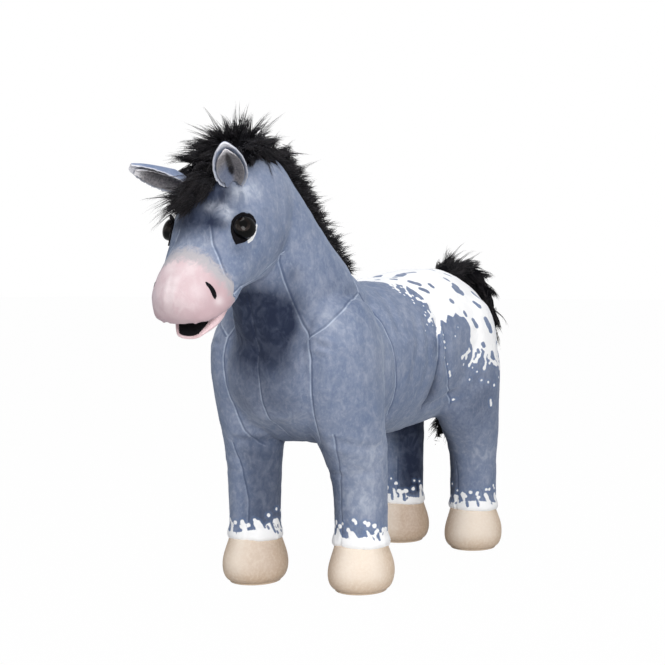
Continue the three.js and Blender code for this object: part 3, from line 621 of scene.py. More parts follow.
def along_and_down(points):
    """Flat coordinates of the croup, in millimetres: along the back and round the rump, and down the side."""
    x, y, z = (points / MM).T
    aside = np.abs(x)
    round_rump = RUMP_START + RUMP_ROUND * np.arctan2(y - RUMP_START, np.maximum(aside, 1e-6))
    over_spine = SPINE_ROUND * np.arctan2(aside, np.maximum(z - SIDE_TOP, 1e-6))
    along = np.where(y < RUMP_START, y, round_rump)
    down = np.where(z > SIDE_TOP, over_spine, SIDE_START + (SIDE_TOP - z))
    return np.stack([along, down], 1)


def round_strokes(flecks):
    return [(u, v, u, v, r) for u, v, r in flecks]


def rounded_spots(spots):
    """The same spots, shorter and a little fatter."""
    return [(u, v, u + 0.6 * (a - u), v + 0.6 * (b - v), 1.12 * r) for u, v, a, b, r in spots]


def blanket_depth(points):
    flat = along_and_down(points)
    wobble = 1.1 * np.sin(flat[:, 0] * 0.55 + 0.7 * np.sin(flat[:, 1] * 0.31)) + 0.7 * np.sin(flat[:, 1] * 0.83)
    left = points[:, 0] > 0
    drips = np.where(left, *(stroke_depth(flat, drip_strokes(DRIP_ROOTS, seed)) for seed in (4, 6)))
    flecks = stroke_depth(flat, FLECK_STROKES + round_strokes(WHITE_FLECKS))
    depth = np.maximum.reduce([outline_depth(flat, BLANKET_EDGE) + 0.45 * wobble, drips, flecks])
    both_sides = (BLUE_SPOTS_LEFT, BLUE_SPOTS_RIGHT)
    spots = np.where(left, *(stroke_depth(flat, rounded_spots(side)) for side in both_sides))
    return np.minimum(depth, 0.3 * wobble - spots)


# %% [markdown]
# Each sock has a splashed top: slanted white waves, blue bites between them, and a belt of round white drops
# that thins out upward. Its flat coordinates are the way round the leg and the height. A seeded generator
# places them, a little differently on each leg. The hem itself flares out over the top of the hoof.

# %% Socks
SOCKS = {
    "front_left": ((40.8, -46.0), 48, 11), "front_right": ((-40.8, -63.5), 46, 12),
    "hind_left": ((33.5, 138.0), 46, 13), "hind_right": ((-33.5, 133.1), 46, 14),
}
LEG_RADIUS = 18.3
leg_round = 2 * math.pi * LEG_RADIUS
HEM_FLARE, HEM_DROP = 0.095, 0.9
WAVES, DROPS, HOLES = 11, 30, 7


def wrapped(strokes):
    """The strokes once more to either side, because the flat cloth goes round the leg."""
    return [(u + s, v, a + s, b, r) for u, v, a, b, r in strokes for s in (-leg_round, 0, leg_round)]


def sock_depth(points):
    depth = np.full(len(points), -9.0)
    x, y, z = (points / MM).T
    for (x0, y0), top, seed in SOCKS.values():
        here = (np.hypot(x - x0, y - y0) < 30) & (z < 90)
        around = np.arctan2(x[here] - x0, -(y[here] - y0)) / (2 * math.pi) * leg_round
        flat = np.stack([around, z[here]], 1)
        rng = np.random.default_rng(seed)
        best = top - 6.5 - z[here] + 1.8 * np.sin(around / leg_round * 4 * math.pi + seed)
        waves, bites, drops, holes = [], [], [], []
        lean = 1.0
        for k in range(WAVES):
            u = (k + rng.uniform(-0.25, 0.25)) / WAVES * leg_round - leg_round / 2
            lean = -lean if rng.random() < 0.3 else lean
            crest = top + rng.uniform(-5.5, 0.5)
            waves.append((u, top - 9, u + lean * rng.uniform(2, 6), crest, rng.uniform(1.5, 2.6)))
            if rng.random() < 0.7:
                reach, deep = rng.uniform(1, 3.5), rng.uniform(6, 10)
                bites.append((u + 5.2, top + 1, u + 5.2 - lean * reach, top - deep, rng.uniform(0.8, 1.3)))
        for k in range(DROPS):
            u = (k + rng.uniform(-0.5, 0.5)) / DROPS * leg_round - leg_round / 2
            up = rng.random() ** 1.5
            tall = rng.uniform(0, 1.6) if rng.random() < 0.4 else 0
            v = top - 3.5 + 12 * up
            drops.append((u, v, u + rng.uniform(-0.8, 0.8), v + tall, (1.75 - 0.75 * up) * rng.uniform(0.75, 1.1)))
        for _ in range(HOLES):
            u, v = rng.uniform(-leg_round / 2, leg_round / 2), top - rng.uniform(3, 9)
            holes.append((u, v, u + rng.uniform(-1, 1), v - rng.uniform(0.3, 2), rng.uniform(0.6, 1.0)))
        for whites, blues in ((waves, bites), (drops, holes)):
            best = np.maximum(best, stroke_depth(flat, wrapped(whites)))
            best = np.minimum(best, -stroke_depth(flat, wrapped(blues)))
        depth[here] = best
    return depth


points = points_of(skin)
for middle, _, _ in SOCKS.values():
    offset = points[:, :2] - np.array(middle) * MM
    hem = ramp(points[:, 2] / MM, 42, 35.5) * (np.linalg.norm(offset, axis=1) < 25 * MM)
    points[:, :2] += offset * (HEM_FLARE * hem)[:, None]
    points[:, 2] -= hem**2 * HEM_DROP * MM
set_points(skin, points)
white_print = np.maximum(blanket_depth(points), sock_depth(points))
paint(skin, white_print=np.clip(white_print, -5, 5))
print("white", round(float((white_print > 0).mean()), 3), "of the skin's points")

# %% [markdown]
# Round soft marks, each with a place, a reach and a strength, paint highlights and shade on the skin. Pale
# marks on the shoulder, chest and legs are painted highlights, and over each eye partly pale airbrush. Dark
# marks on the forehead under the forelock, under the jaw, on the chest in the head's shadow, in the hip and
# stifle creases and on the back and haunch are painted shade, and round the eyes partly dark airbrush. A
# grey-white band turns into the pink muzzle.

# %% Painted highlights and shade, and airbrush, on face and body
# Painted highlights, with some pale airbrush over the eyes.
PALE_MARKS = [
    (23, -163, 276, 7, 0.55), (27, -154, 279, 6, 0.35), (21, -172, 263, 4, 0.75), (18, -175, 268, 5, 0.3),
    (10, -178, 268, 3.5, 0.25), (12, -186, 243, 7, 0.15), (0, -188, 242, 8, 0.2),
    (52, -95, 195, 14, 0.2), (56, -62, 100, 14, 0.35), (54, -64, 66, 13, 0.4), (50, 122, 80, 14, 0.2),
    (60, -52, 165, 24, 0.12), (20, -102, 113, 13, 0.3),
]
# Painted shade and shadow, with some dark airbrush round the eyes.
DARK_MARKS = [
    (0, -172, 277, 17, 0.95), (11, -170, 276, 11, 0.75), (4, -180, 265, 11, 0.75), (15, -178, 257, 5, 0.65),
    (20, -175, 256, 4, 0.55), (9, -181, 254, 6, 0.25), (0, -184, 250, 9, 0.2), (26, -171, 241, 5, 0.4),
    (14, -182, 247, 5, 0.25), (31, -125, 243, 8, 0.35), (30, -112, 225, 7, 0.35), (14, -122, 207, 17, 0.6),
    (6, -114, 184, 17, 0.65), (19, -110, 168, 14, 0.35), (23, -109, 190, 12, 0.4), (4, -112, 156, 26, 0.30),
    (-16, -113, 192, 14, 0.55), (-6, -119, 203, 13, 0.5), (28, -110, 206, 11, 0.4), (17, -105, 137, 12, 0.25),
    (54, 33, 172, 7, 0.3),
    (52, 105, 125, 22, 0.34), (40, -74, 212, 18, 0.22), (30, 60, 215, 22, 0.26),
    (54, 42, 170, 4, 0.35), (54, 41, 158, 5, 0.5), (52, 39, 148, 6, 0.6), (49, 38, 138, 7, 0.6),
    (44, 36, 130, 8, 0.5), (46, 42, 140, 10, 0.2),
]


def inner_leg_tone(points):
    """Painted shade: the inner face of each leg is darker, most of all on the hind legs."""
    x, y, z = (points / MM).T
    tone = np.zeros(len(points))
    for here, middle, strength in ((y < 0, 40.8, 0.6), (y > 80, 33.5, 1.0)):
        inward = ramp((middle - np.abs(x)) / LEG_RADIUS, -0.15, 0.8)
        tone = np.where(here, strength * inward * ramp(z, 36, 46) * ramp(z, 128, 96), tone)
    return tone


def brushed(points, marks):
    total = np.zeros(len(points))
    for x, y, z, reach, strength in marks:
        for side in (1, -1) if x else (1,):
            total += strength * bell(np.linalg.norm(points / MM - (side * x, y, z), axis=1), reach)
    return np.minimum(total, 1)


# Painted shade: the dark marks and the inner sides of the legs.
dark = np.maximum(brushed(points, DARK_MARKS), inner_leg_tone(points))
paint(skin, pale=brushed(points, PALE_MARKS), dark=dark)

head_top = np.array([0, -122, 290.0])
head_slope = math.radians(54.5)
head_along = np.array([0, -math.cos(head_slope), -math.sin(head_slope)])
head_lift = np.array([0, -math.sin(head_slope), math.cos(head_slope)])
PINK_START, CHIN_START = 86, 97


def face_panel(points):
    """Millimetres past the start of the pink, down the face, and in front of the seam beside the cheek."""
    local = points / MM - head_top
    down_face, lift = local @ head_along, local @ head_lift
    pink = down_face - PINK_START - 0.012 * local[:, 0] ** 2
    seam_lift = 26 - 0.81 * (down_face - 64)
    in_front = np.where(down_face > CHIN_START, 20, lift - seam_lift)
    near_head = (points[:, 2] > 178 * MM) & (points[:, 1] < -140 * MM) & (down_face > 30)
    return np.where(near_head, pink, -40), np.where(near_head, in_front, -20)


MUZZLE_GLINTS = [
    (3, -202, 221, 3.2, 0.35), (3, -204, 215, 3.2, 0.4), (3, -205, 209, 3.2, 0.3), (17, -198, 213, 5, 0.25),
    (26, -189, 208, 3, 0.5), (8, -196, 229, 6, 0.25),
]
pink, in_front = face_panel(points)
x, y, z = (points / MM).T
# The sides and underside of the muzzle are marked for painted shade.
paint(
    skin,
    muzzle_round=np.clip(ramp(np.abs(x), 8, 30) + 0.6 * ramp(z, 206, 196), 0, 1),
    muzzle_glint=brushed(points, MUZZLE_GLINTS),
    pink=np.clip(pink, -30, 30),
    in_front=np.clip(in_front, -5, 5),
)
print("face tones set on", len(points), "points")

# %% [markdown]
# A finish is a material being mixed. It starts with a ground colour and is tinted coat after coat, each by a
# pattern that says how much. Every pattern reads Object coordinates or a number painted on the points, so it
# stays sharp at any distance and stays put when a part moves.

# %% Finishes
class Finish:
    def __init__(self, name, roughness, specular, sheen=0.0, sheen_tint=(1, 1, 1), sheen_roughness=0.5):
        self.material = bpy.data.materials.new(name)
        self.material.use_nodes = True
        self.tree = self.material.node_tree
        self.shader = self.tree.nodes["Principled BSDF"]
        self.shader.inputs["Roughness"].default_value = roughness
        self.shader.inputs["Specular IOR Level"].default_value = specular
        self.shader.inputs["Sheen Weight"].default_value = sheen
        self.shader.inputs["Sheen Tint"].default_value = (*sheen_tint, 1)
        self.shader.inputs["Sheen Roughness"].default_value = sheen_roughness
        self.place = self.add("TexCoord").outputs["Object"]

    def add(self, kind, props=None, **inputs):
        return add(self.tree, kind, props, **inputs)

    def noise(self, scale, detail=3, roughness=0.55, distortion=0.0, place=None):
        place = self.place if place is None else place
        made = self.add(
            "TexNoise", Vector=place, Scale=scale, Detail=detail, Roughness=roughness, Distortion=distortion,
        )
        return made.outputs["Fac"]

    def painted(self, name):
        return self.add("Attribute", {"attribute_name": name}).outputs["Fac"]

    def coordinate(self, letter, vector=None):
        return self.add("SeparateXYZ", Vector=self.place if vector is None else vector).outputs[letter]

    def maths(self, operation, a, b=0.0):
        return maths(self.tree, operation, a, b)

    def vector(self, operation, a, **others):
        made = self.add("VectorMath", {"operation": operation}, i0=a, **others)
        return made.outputs["Value" if operation in ("DOT_PRODUCT", "LENGTH") else "Vector"]

    def times(self, first, *others, clamp=False):
        for other in others:
            first = maths(self.tree, "MULTIPLY", first, other, clamp)
        return first

    def stirred(self, value, pattern, amount, middle=0.0):
        """A value made uneven by a pattern."""
        if middle:
            pattern = self.maths("SUBTRACT", pattern, middle)
        return self.maths("ADD", value, self.times(pattern, amount))

    def between(self, value, low, high, start=0.0, end=1.0):
        return self.add(
            "MapRange", {"interpolation_type": "SMOOTHSTEP"},
            Value=value, From_Min=low, From_Max=high, To_Min=start, To_Max=end,
        ).outputs[0]

    def blend(self, factor, a, b):
        return self.add("Mix", {"data_type": "RGBA"}, i0=factor, i6=a, i7=b).outputs[2]

    def ground(self, pattern, low, high, a, b, start=0.0, end=1.0):
        self.colour = self.blend(self.between(pattern, low, high, start, end), a, b)

    def tint(self, factor, colour, strength=1):
        factor = factor if strength == 1 else self.times(factor, strength)
        self.colour = self.blend(factor, self.colour, colour)

    def done(self, height=None, strength=1.0, distance=0.001):
        self.tree.links.new(self.colour, self.shader.inputs["Base Color"])
        if height is not None:
            bump = self.add("Bump", Strength=strength, Distance=distance, Height=height)
            self.tree.links.new(bump.outputs[0], self.shader.inputs["Normal"])


def wear(finish, *pieces):
    for piece in pieces:
        piece.data.materials.clear()
        piece.data.materials.append(finish.material)


PILE = (1500, 2, 0.7)

# %% [markdown]
# Coat plush. The pile is about two millimetres long and printed: a grey blue with paler and deeper clouds
# and a grain where the pile parts. Along each seam a paler line is a painted highlight on the ridge, with a
# dark edge beside it that is painted shade in the groove. Over these lie the painted highlights and shade, some
# airbrush on the face, the pink of the muzzle with its painted glints and its sides painted darker as shade,
# and the white print. Sheen gives the soft edge that pile has when light grazes it.

# %% Coat plush
# Painted shade colours: the navy, the gully blue and the deep pink. Painted highlight colours: the pale, the seam
# ridge blue and the glint.
DEEP, MID, LIGHT = (0.125, 0.17, 0.275), (0.22, 0.258, 0.355), (0.36, 0.39, 0.475)
NAVY, PALE, WHITE = (0.021, 0.028, 0.054), (0.60, 0.63, 0.70), (0.96, 0.955, 0.95)
PINK, PINK_LIGHT, PINK_DEEP = (0.60, 0.45, 0.472), (0.65, 0.525, 0.54), (0.535, 0.378, 0.402)
GREY_BAND, GULLY, THREAD = (0.44, 0.415, 0.435), (0.075, 0.105, 0.19), (0.46, 0.52, 0.64)
GLINT, RIM_BLUE, WHITE_SHADE = (0.93, 0.88, 0.88), (0.13, 0.2, 0.36), (0.84, 0.835, 0.84)

coat = Finish("coat_plush", 0.9, 0.04, 0.28, (0.72, 0.8, 0.95), 0.42)
drawn_out = coat.add("Mapping", {"vector_type": "POINT"}, Vector=coat.place, Scale=(1, 1, 0.7)).outputs[0]
mottle, grain = coat.noise(150, 4, 0.62, 0.6, drawn_out), coat.noise(520, 3, 0.65, place=drawn_out)
coat.ground(coat.noise(17, 3, 0.5, 0.2), 0.3, 0.7, MID, DEEP, 0.1, 0.7)
coat.tint(coat.between(mottle, 0.4, 0.75, 0, 0.5), LIGHT)
coat.tint(coat.between(mottle, 0.45, 0.2, 0, 0.35), DEEP)
coat.tint(coat.between(grain, 0.5, 0.75, 0, 0.45), LIGHT)
coat.tint(coat.between(grain, 0.5, 0.28, 0, 0.45), DEEP)

seam_side, near_seam = coat.painted("seam_side"), coat.between(coat.painted("seam_off"), 5.0, 3.0)
# Beside each seam: the dark gully is painted shade in the groove, and the paler ridge line is a painted highlight.
gully = coat.between(coat.maths("ABSOLUTE", coat.maths("ADD", seam_side, 0.9)), 1.3, 0.2)
thread = coat.between(coat.maths("ABSOLUTE", coat.maths("SUBTRACT", seam_side, 0.35)), 0.9, 0.15)
worn = coat.between(mottle, 0.3, 0.6, 0.3, 0.85)
on_body = coat.between(coat.coordinate("Z"), 0.095, 0.13, 0.3, 1.0)
coat.tint(coat.times(gully, near_seam, 0.6), GULLY)
coat.tint(coat.times(thread, near_seam, worn, on_body), THREAD)

# Painted shade, with some dark airbrush on the face.
coat.tint(coat.times(coat.painted("dark"), coat.between(mottle, 0.3, 0.65, 1.04, 0.88), clamp=True), NAVY)
# Painted highlights, with some pale airbrush on the face.
coat.tint(coat.times(coat.painted("pale"), coat.between(mottle, 0.35, 0.65, 0.4, 1.2), clamp=True), PALE)
in_front = coat.between(coat.painted("in_front"), -0.4, 0.4)
pink_at = coat.stirred(coat.painted("pink"), coat.noise(190, 3, 0.7, 1.2), 16.0, 0.5)
# Painted shade: a deeper pink on the sides and underside of the muzzle.
aside = coat.between(coat.painted("muzzle_round"), 0.25, 0.95)
blush = coat.blend(coat.between(mottle, 0.35, 0.7), PINK, PINK_LIGHT)
blush = coat.blend(coat.times(aside, coat.between(mottle, 0.25, 0.6, 0.5, 0.9)), blush, PINK_DEEP)
blush = coat.blend(coat.painted("muzzle_glint"), blush, GLINT)
coat.tint(coat.times(coat.between(pink_at, -11, -3), in_front), GREY_BAND)
coat.tint(coat.times(coat.between(pink_at, -2, 5), in_front), blush)

ragged = coat.stirred(coat.painted("white_print"), grain, 1.3, 0.5)
coat.tint(coat.between(ragged, -2.6, -0.2), RIM_BLUE, 0.4)
white = coat.blend(coat.between(mottle, 0.45, 0.2, 0, 0.6), WHITE, WHITE_SHADE)
coat.tint(coat.between(ragged, -0.35, 0.35), white)
coat.done(coat.stirred(coat.times(coat.noise(*PILE), 0.5), mottle, 0.9), 0.35, 0.0007)
print("coat plush made,", len(coat.tree.nodes), "nodes")

# %% [markdown]
# Hooves. Each is a small stuffed bell of cream plush, sewn to the leg at the top and to a flat felt sole at
# the bottom. A lathe could make it, but the real one is a little longer than wide, so an oval is drawn up
# from ring to ring: every ring has its own height and size. The plush rolls under at the bottom, as a stuffed
# edge does, and a faint groove makes the side seams.

# %% Hooves
HOOF_RINGS = [
    (0.5, 0.72), (1.2, 0.79), (2.4, 0.86), (4.4, 0.925), (7.2, 0.972), (10.5, 0.995), (14.0, 1.0), (17.5, 0.985),
    (21.0, 0.952), (24.5, 0.905), (28.0, 0.855), (31.0, 0.812), (32.6, 0.79), (33.2, 0.76),
]
FEET = {
    "front_left": (40.81, -46.0), "front_right": (-40.81, -63.5),
    "hind_left": (33.52, 138.0), "hind_right": (-33.52, 133.1),
}
HOOF_WIDTH, HOOF_LENGTH, HOOF_SIDES = 46.5, 53.0, 72
HOOF_SEAM_TURN, HOOF_RADIUS = 1.0, 22


def draw_out_hoof(name, foot, turn_seed):
    (x0, y0), (first_z, first_share) = foot, HOOF_RINGS[0]
    place = (x0 * MM, y0 * MM, first_z * MM)
    piece = primitive("circle", name, vertices=HOOF_SIDES, radius=0.5, fill_type="NGON", location=place)
    piece.scale = (HOOF_WIDTH * first_share * MM, HOOF_LENGTH * first_share * MM, 1)
    bpy.ops.object.transform_apply(location=False, rotation=False, scale=True)
    bpy.ops.object.mode_set(mode="EDIT")
    bpy.ops.mesh.select_all(action="SELECT")
    for (z0, s0), (z1, s1) in zip(HOOF_RINGS, HOOF_RINGS[1:]):
        bpy.ops.mesh.extrude_region_move(TRANSFORM_OT_translate={"value": (0, 0, (z1 - z0) * MM)})
        bpy.ops.transform.resize(value=(s1 / s0, s1 / s0, 1), center_override=(x0 * MM, y0 * MM, z1 * MM))
    bpy.ops.mesh.inset(thickness=3 * MM)
    bpy.ops.mesh.select_all(action="SELECT")
    bpy.ops.mesh.normals_make_consistent(inside=False)
    bpy.ops.object.mode_set(mode="OBJECT")
    bpy.ops.object.transform_apply(location=True, rotation=True, scale=True)
    apply_modifier(piece, "SUBSURF", levels=1, render_levels=1)
    points, normals = points_of(piece), normals_of(piece)
    x, y, z = (points / MM).T
    around = np.arctan2(x - x0, -(y - y0))
    turned = around + HOOF_SEAM_TURN
    front = np.abs((turned + math.pi) % (2 * math.pi) - math.pi) * HOOF_RADIUS
    back = np.abs(turned % (2 * math.pi) - math.pi) * HOOF_RADIUS
    groove = 0.3 * bell(front, 1.3) + 0.35 * bell(front, 5) + 0.5 * bell(back, 1.5)
    groove *= ramp(z, 2, 8) * ramp(z, 33, 30)
    lump = 0.5 * np.sin(3 * around + turn_seed) * np.sin(z / 5 + turn_seed) + 0.3 * np.sin(5 * around - turn_seed)
    set_points(piece, points - normals * ((groove + 0.35 * lump * ramp(z, 3, 9)) * MM)[:, None])
    # Painted shade on the inner side of each hoof, stronger on the hind hooves.
    inner = ramp((abs(x0) - np.abs(x)) / 23, -0.1, 0.8) * (1.4 if y0 > 0 else 1.0)
    paint(piece, seam_off=np.minimum(front + 0.6, back), inner=inner)
    smooth_shade(piece)
    return piece


hooves = []
for i, (leg, foot) in enumerate(FEET.items()):
    hooves.append(draw_out_hoof(f"hoof_{leg}_plush", foot, 1.7 * i + 0.5))
    hand_in(hooves[-1], "horse", f"hoof_{leg}")
print("hooves", [len(h.data.polygons) for h in hooves])

# %% [markdown]
# Hoof plush is cream, painted darker tan as shade on its inner side, towards its two side seams and along
# its lower edge, with a faint darker line on each seam. The soles are flat felt.

# %% Hoof plush and soles
cream = Finish("hoof_plush", 0.9, 0.05, 0.22, (1.0, 0.96, 0.9), 0.45)
clouds, grain, seam_off = cream.noise(45), cream.noise(500, 2), cream.painted("seam_off")
cream.ground(clouds, 0.35, 0.7, (0.85, 0.735, 0.62), (0.80, 0.67, 0.545), 0, 0.5)
# Painted shade: tan on the inner side, along the lower edge and towards the side seams.
inner = cream.times(cream.painted("inner"), cream.between(clouds, 0.3, 0.7, 0.42, 0.62))
cream.tint(inner, (0.51, 0.35, 0.245))
cream.tint(cream.between(cream.coordinate("Z"), 0.016, 0.002), (0.62, 0.46, 0.32), 0.75)
cream.tint(cream.between(cream.stirred(seam_off, clouds, 8), 30, 8), (0.62, 0.455, 0.315), 0.85)
cream.tint(cream.between(cream.stirred(seam_off, grain, 0.8), 2.4, 0.6), (0.55, 0.41, 0.29), 0.3)
cream.tint(cream.between(grain, 0.35, 0.75, 0, 0.25), (0.93, 0.85, 0.75))
cream.done(cream.noise(*PILE), 0.3, 0.0005)
wear(cream, *hooves)

sole_felt = Finish("sole_felt", 0.95, 0.04, 0.15)
fibres = sole_felt.noise(700, 4, 0.7, 2.5)
sole_felt.ground(fibres, 0.3, 0.7, (0.72, 0.58, 0.44), (0.58, 0.45, 0.33))
sole_felt.done(fibres, 0.4, 0.0004)
SOLE_SHARE, SOLE_DEPTH = 0.77, 1.6 * MM
for leg, (x0, y0) in FEET.items():
    sole = primitive(
        "cylinder", f"sole_{leg}_felt", vertices=HOOF_SIDES, radius=0.5, depth=SOLE_DEPTH, end_fill_type="NGON",
        location=(x0 * MM, y0 * MM, SOLE_DEPTH / 2),
    )
    sole.scale = (HOOF_WIDTH * SOLE_SHARE * MM, HOOF_LENGTH * SOLE_SHARE * MM, 1)
    bpy.ops.object.transform_apply(location=True, rotation=True, scale=True)
    apply_modifier(sole, "BEVEL", width=0.5 * MM, segments=3, limit_method="ANGLE")
    smooth_shade(sole)
    wear(sole_felt, sole)
    hand_in(sole, "horse", f"sole_{leg}")
print("soles and hooves have their finishes")

# %% [markdown]
# The small soft pieces round the mouth are copied from the frame like the skin, with a finer voxel because
# they are thin: the lower lip, the felt inside the mouth, and the two nostril slits.

# %% Lip, mouth felt and nostrils
def softened(name, node, voxel_mm, rounds, body, grow=0.0):
    piece = pattern_block(name, node)
    if grow:
        apply_modifier(piece, "DISPLACE", strength=grow * MM, mid_level=0.0)
    apply_modifier(piece, "REMESH", mode="VOXEL", voxel_size=voxel_mm * MM)
    apply_modifier(piece, "SMOOTH", factor=0.5, iterations=rounds)
    smooth_shade(piece)
    hand_in(piece, body, node)
    return piece


lower_lip = softened("lower_lip_plush", "lower_lip", 0.9, 5, "horse", 0.2)
mouth_felt = softened("mouth_felt", "mouth_lining", 0.55, 3, "horse")
nostrils = [
    softened(f"nostril_stitch_{side}", f"nostril_{side}", 0.28, 3, "horse", 0.4)
    for side in ("left", "right")
]
print("lip", len(lower_lip.data.vertices), "mouth felt", len(mouth_felt.data.vertices))

# %% [markdown]
# Lip plush is the muzzle's pink without the fade. The felt is matt, black or white, with short fibres that
# catch a little light.

# %% Pink plush and black and white felt
lip_plush = Finish("muzzle_plush", 0.9, 0.05, 0.25, (1.0, 0.9, 0.92), 0.45)
lip_plush.ground(lip_plush.noise(90), 0.35, 0.7, (0.84, 0.64, 0.66), (0.72, 0.49, 0.52))
lip_plush.done(lip_plush.noise(*PILE), 0.3, 0.0005)
wear(lip_plush, lower_lip)


def felt(name, dark_tone, light_tone):
    made = Finish(name, 0.95, 0.02, 0.03)
    fibres = made.noise(900, 4, 0.7, 2.5)
    tone = made.stirred(made.times(fibres, 0.7), made.noise(120, 2), 0.3)
    made.ground(tone, 0.35, 0.7, dark_tone, light_tone)
    made.done(fibres, 0.35, 0.0003)
    return made


black_felt = felt("black_felt", (0.004, 0.004, 0.005), (0.014, 0.013, 0.016))
white_felt = felt("white_felt", (0.70, 0.70, 0.71), (0.86, 0.86, 0.86))
wear(black_felt, mouth_felt, *nostrils)

# %% [markdown]
# Eyes. The plastic domes keep their exact frame shape and get a glossy finish: a black pupil, a dark brown
# ring with painted light that makes it lighter low down, and a black edge. The ring follows the dome's own
# axis, which runs from the lock washer inside the head to the dome. The material bends the shine as a smooth
# dome would, so that the solid's facets don't show.

# %% Eyes
DOME_RADIUS, DOME_BULGE, RING_SHIFT = 7.6, 4.4, 3.0
PUPIL_EDGE, RING_EDGE = (0.0024, 0.0030), (0.0044, 0.0051)


def dome_outward(eye, centre, axis):
    """The outward direction of a polished dome, half an ellipsoid."""
    offset = eye.vector("SUBTRACT", eye.place, i1=tuple(centre))
    height = eye.vector("DOT_PRODUCT", offset, i1=tuple(axis))
    bulged = eye.times(eye.maths("MAXIMUM", height), 1 / DOME_BULGE**2)
    extra = eye.maths("SUBTRACT", bulged, eye.times(height, 1 / DOME_RADIUS**2))
    around = eye.vector("SCALE", offset, Scale=1 / DOME_RADIUS**2)
    ahead = eye.vector("SCALE", tuple(axis), Scale=extra)
    return eye.vector("NORMALIZE", eye.vector("ADD", around, i1=ahead))


def dress_eye(side):
    solid = frame["nodes"][f"eye_{side}"]
    dome, lock = points_of(solid), points_of(frame["nodes"][f"eye_washer_{side}"])
    axis = Vector(dome.mean(0) - lock.mean(0)).normalized()
    reach = (dome @ np.array(axis)).max()
    base = Vector(lock.mean(0))
    front = base + axis * (reach - base.dot(axis))
    aim = Vector((0.83 if side == "left" else -0.83, 0.56, 0))
    aim = (aim - axis * aim.dot(axis)).normalized()
    eye = Finish(f"eye_plastic_{side}", 0.07, 0.09)
    offset = eye.vector("SUBTRACT", eye.place, i1=tuple(front - aim * (RING_SHIFT * MM)))
    radius = eye.vector("LENGTH", eye.vector("CROSS_PRODUCT", offset, i1=tuple(axis)))
    rays = eye.noise(800, 3, 0.6, 0.6)
    eye.ground(rays, 0.3, 0.7, (0.004, 0.0025, 0.002), (0.010, 0.0065, 0.0055))
    # Painted light: the ring is lighter low down, where light through the dome falls.
    low = eye.between(eye.coordinate("Z", offset), 0.0005, -0.004)
    eye.tint(eye.times(low, eye.between(rays, 0.2, 0.7, 0.4, 1.0)), (0.034, 0.027, 0.025))
    eye.colour = eye.blend(eye.between(radius, *PUPIL_EDGE), (0.0015, 0.0015, 0.0015), eye.colour)
    eye.tint(eye.between(radius, *RING_EDGE), (0.002, 0.002, 0.002))
    eye.done()
    polished = dome_outward(eye, front - axis * (DOME_BULGE * MM), axis)
    eye.tree.links.new(polished, eye.shader.inputs["Normal"])
    wear(eye, solid)
    return np.array(front), np.array(axis)


eye_fronts = {side: dress_eye(side) for side in ("left", "right")}
print("eyes at", [tuple(round(float(c), 3) for c in front) for front, _ in eye_fronts.values()])

# %% [markdown]
# The felt round the eyes. The black almond has a round lobe of lashes behind its top, which stands off the
# head a little. The white felt under it sits slightly further back, so it shows as a thin bright line there.

# %% Eye felts
LASHES_WAY, RIM_SHIFT = np.array([0, 0.62, 0.78]), np.array([0, 1.45, 0.0])
LASHES = {"left": (8.2, 1.2), "right": (7.2, 3.5)}
for side, (full_reach, stand_off) in LASHES.items():
    front, axis = eye_fronts[side]
    pad = softened(f"eye_pad_{side}_felt", f"eye_pad_{side}", 0.35, 9, "horse")
    points = points_of(pad)
    corner = unit(LASHES_WAY - axis * (LASHES_WAY @ axis))
    reach = (points - front) / MM @ corner
    blunt = -0.75 * np.maximum(reach - full_reach, 0)
    stand = stand_off * ramp(reach, 3, 8)
    set_points(pad, points + (corner * blunt[:, None] + axis * stand[:, None]) * MM)
    wear(black_felt, pad)
    rim = softened(f"eye_rim_{side}_felt", f"eye_rim_{side}", 0.3, 3, "horse")
    set_points(rim, points_of(rim) + (RIM_SHIFT + 0.5 * axis) * MM)
    wear(white_felt, rim)

washer_plastic = Finish("washer_plastic", 0.35, 0.4)
mould = washer_plastic.noise(300, 2)
washer_plastic.colour = washer_plastic.blend(mould, (0.72, 0.70, 0.66), (0.8, 0.78, 0.74))
washer_plastic.done(mould, 0.1, 0.0002)
wear(washer_plastic, *(frame["nodes"][f"eye_washer_{side}"] for side in eye_fronts))
print("washers inside the head are dressed too")

# %% [markdown]
# Ears. Each is a cupped leaf of coat plush with a pale bound edge and a grey lining, with painted shade
# darkest down the middle of its hollow. To colour them, every point is turned back into the ear's own flat
# frame: across the cup, along to the tip, and forward out of the opening. The right ear is the left one
# mirrored, after a turn about its own length and a fold forward at its base.

# %% Ears
ear_hinge = np.array([19.103, -163.575, 282.078])
ear_axis = Vector((0.81155, 0.55839, 0.17199)).normalized()
ear_tip = Vector((20, -38, 29)).normalized()
ear_opening = Vector((0.44, -0.39, -0.81))
ear_opening = (ear_opening - ear_tip * ear_opening.dot(ear_tip)).normalized()
ear_frame = np.array([ear_tip.cross(ear_opening), ear_tip, ear_opening])
RIGHT_EAR_FOLD, RIGHT_EAR_TURN = 16, -32
EAR_HALF_WIDTHS = [(0, 0.5), (0.12, 0.76), (0.3, 0.97), (0.5, 1.0), (0.7, 0.88), (0.86, 0.64), (1.0, 0.26)]
EAR_LENGTH, EAR_WIDTH = 42.0, 22.0
MIRROR = (-1, 1, 1)
undo_fold = np.array(Matrix.Rotation(math.radians(-RIGHT_EAR_FOLD), 3, ear_axis))
undo_turn = np.array(Matrix.Rotation(math.radians(-RIGHT_EAR_TURN), 3, ear_tip))


def in_ear_frame(vectors, side):
    if side == "right":
        vectors = vectors * MIRROR @ undo_fold.T @ undo_turn.T
    return vectors @ ear_frame.T


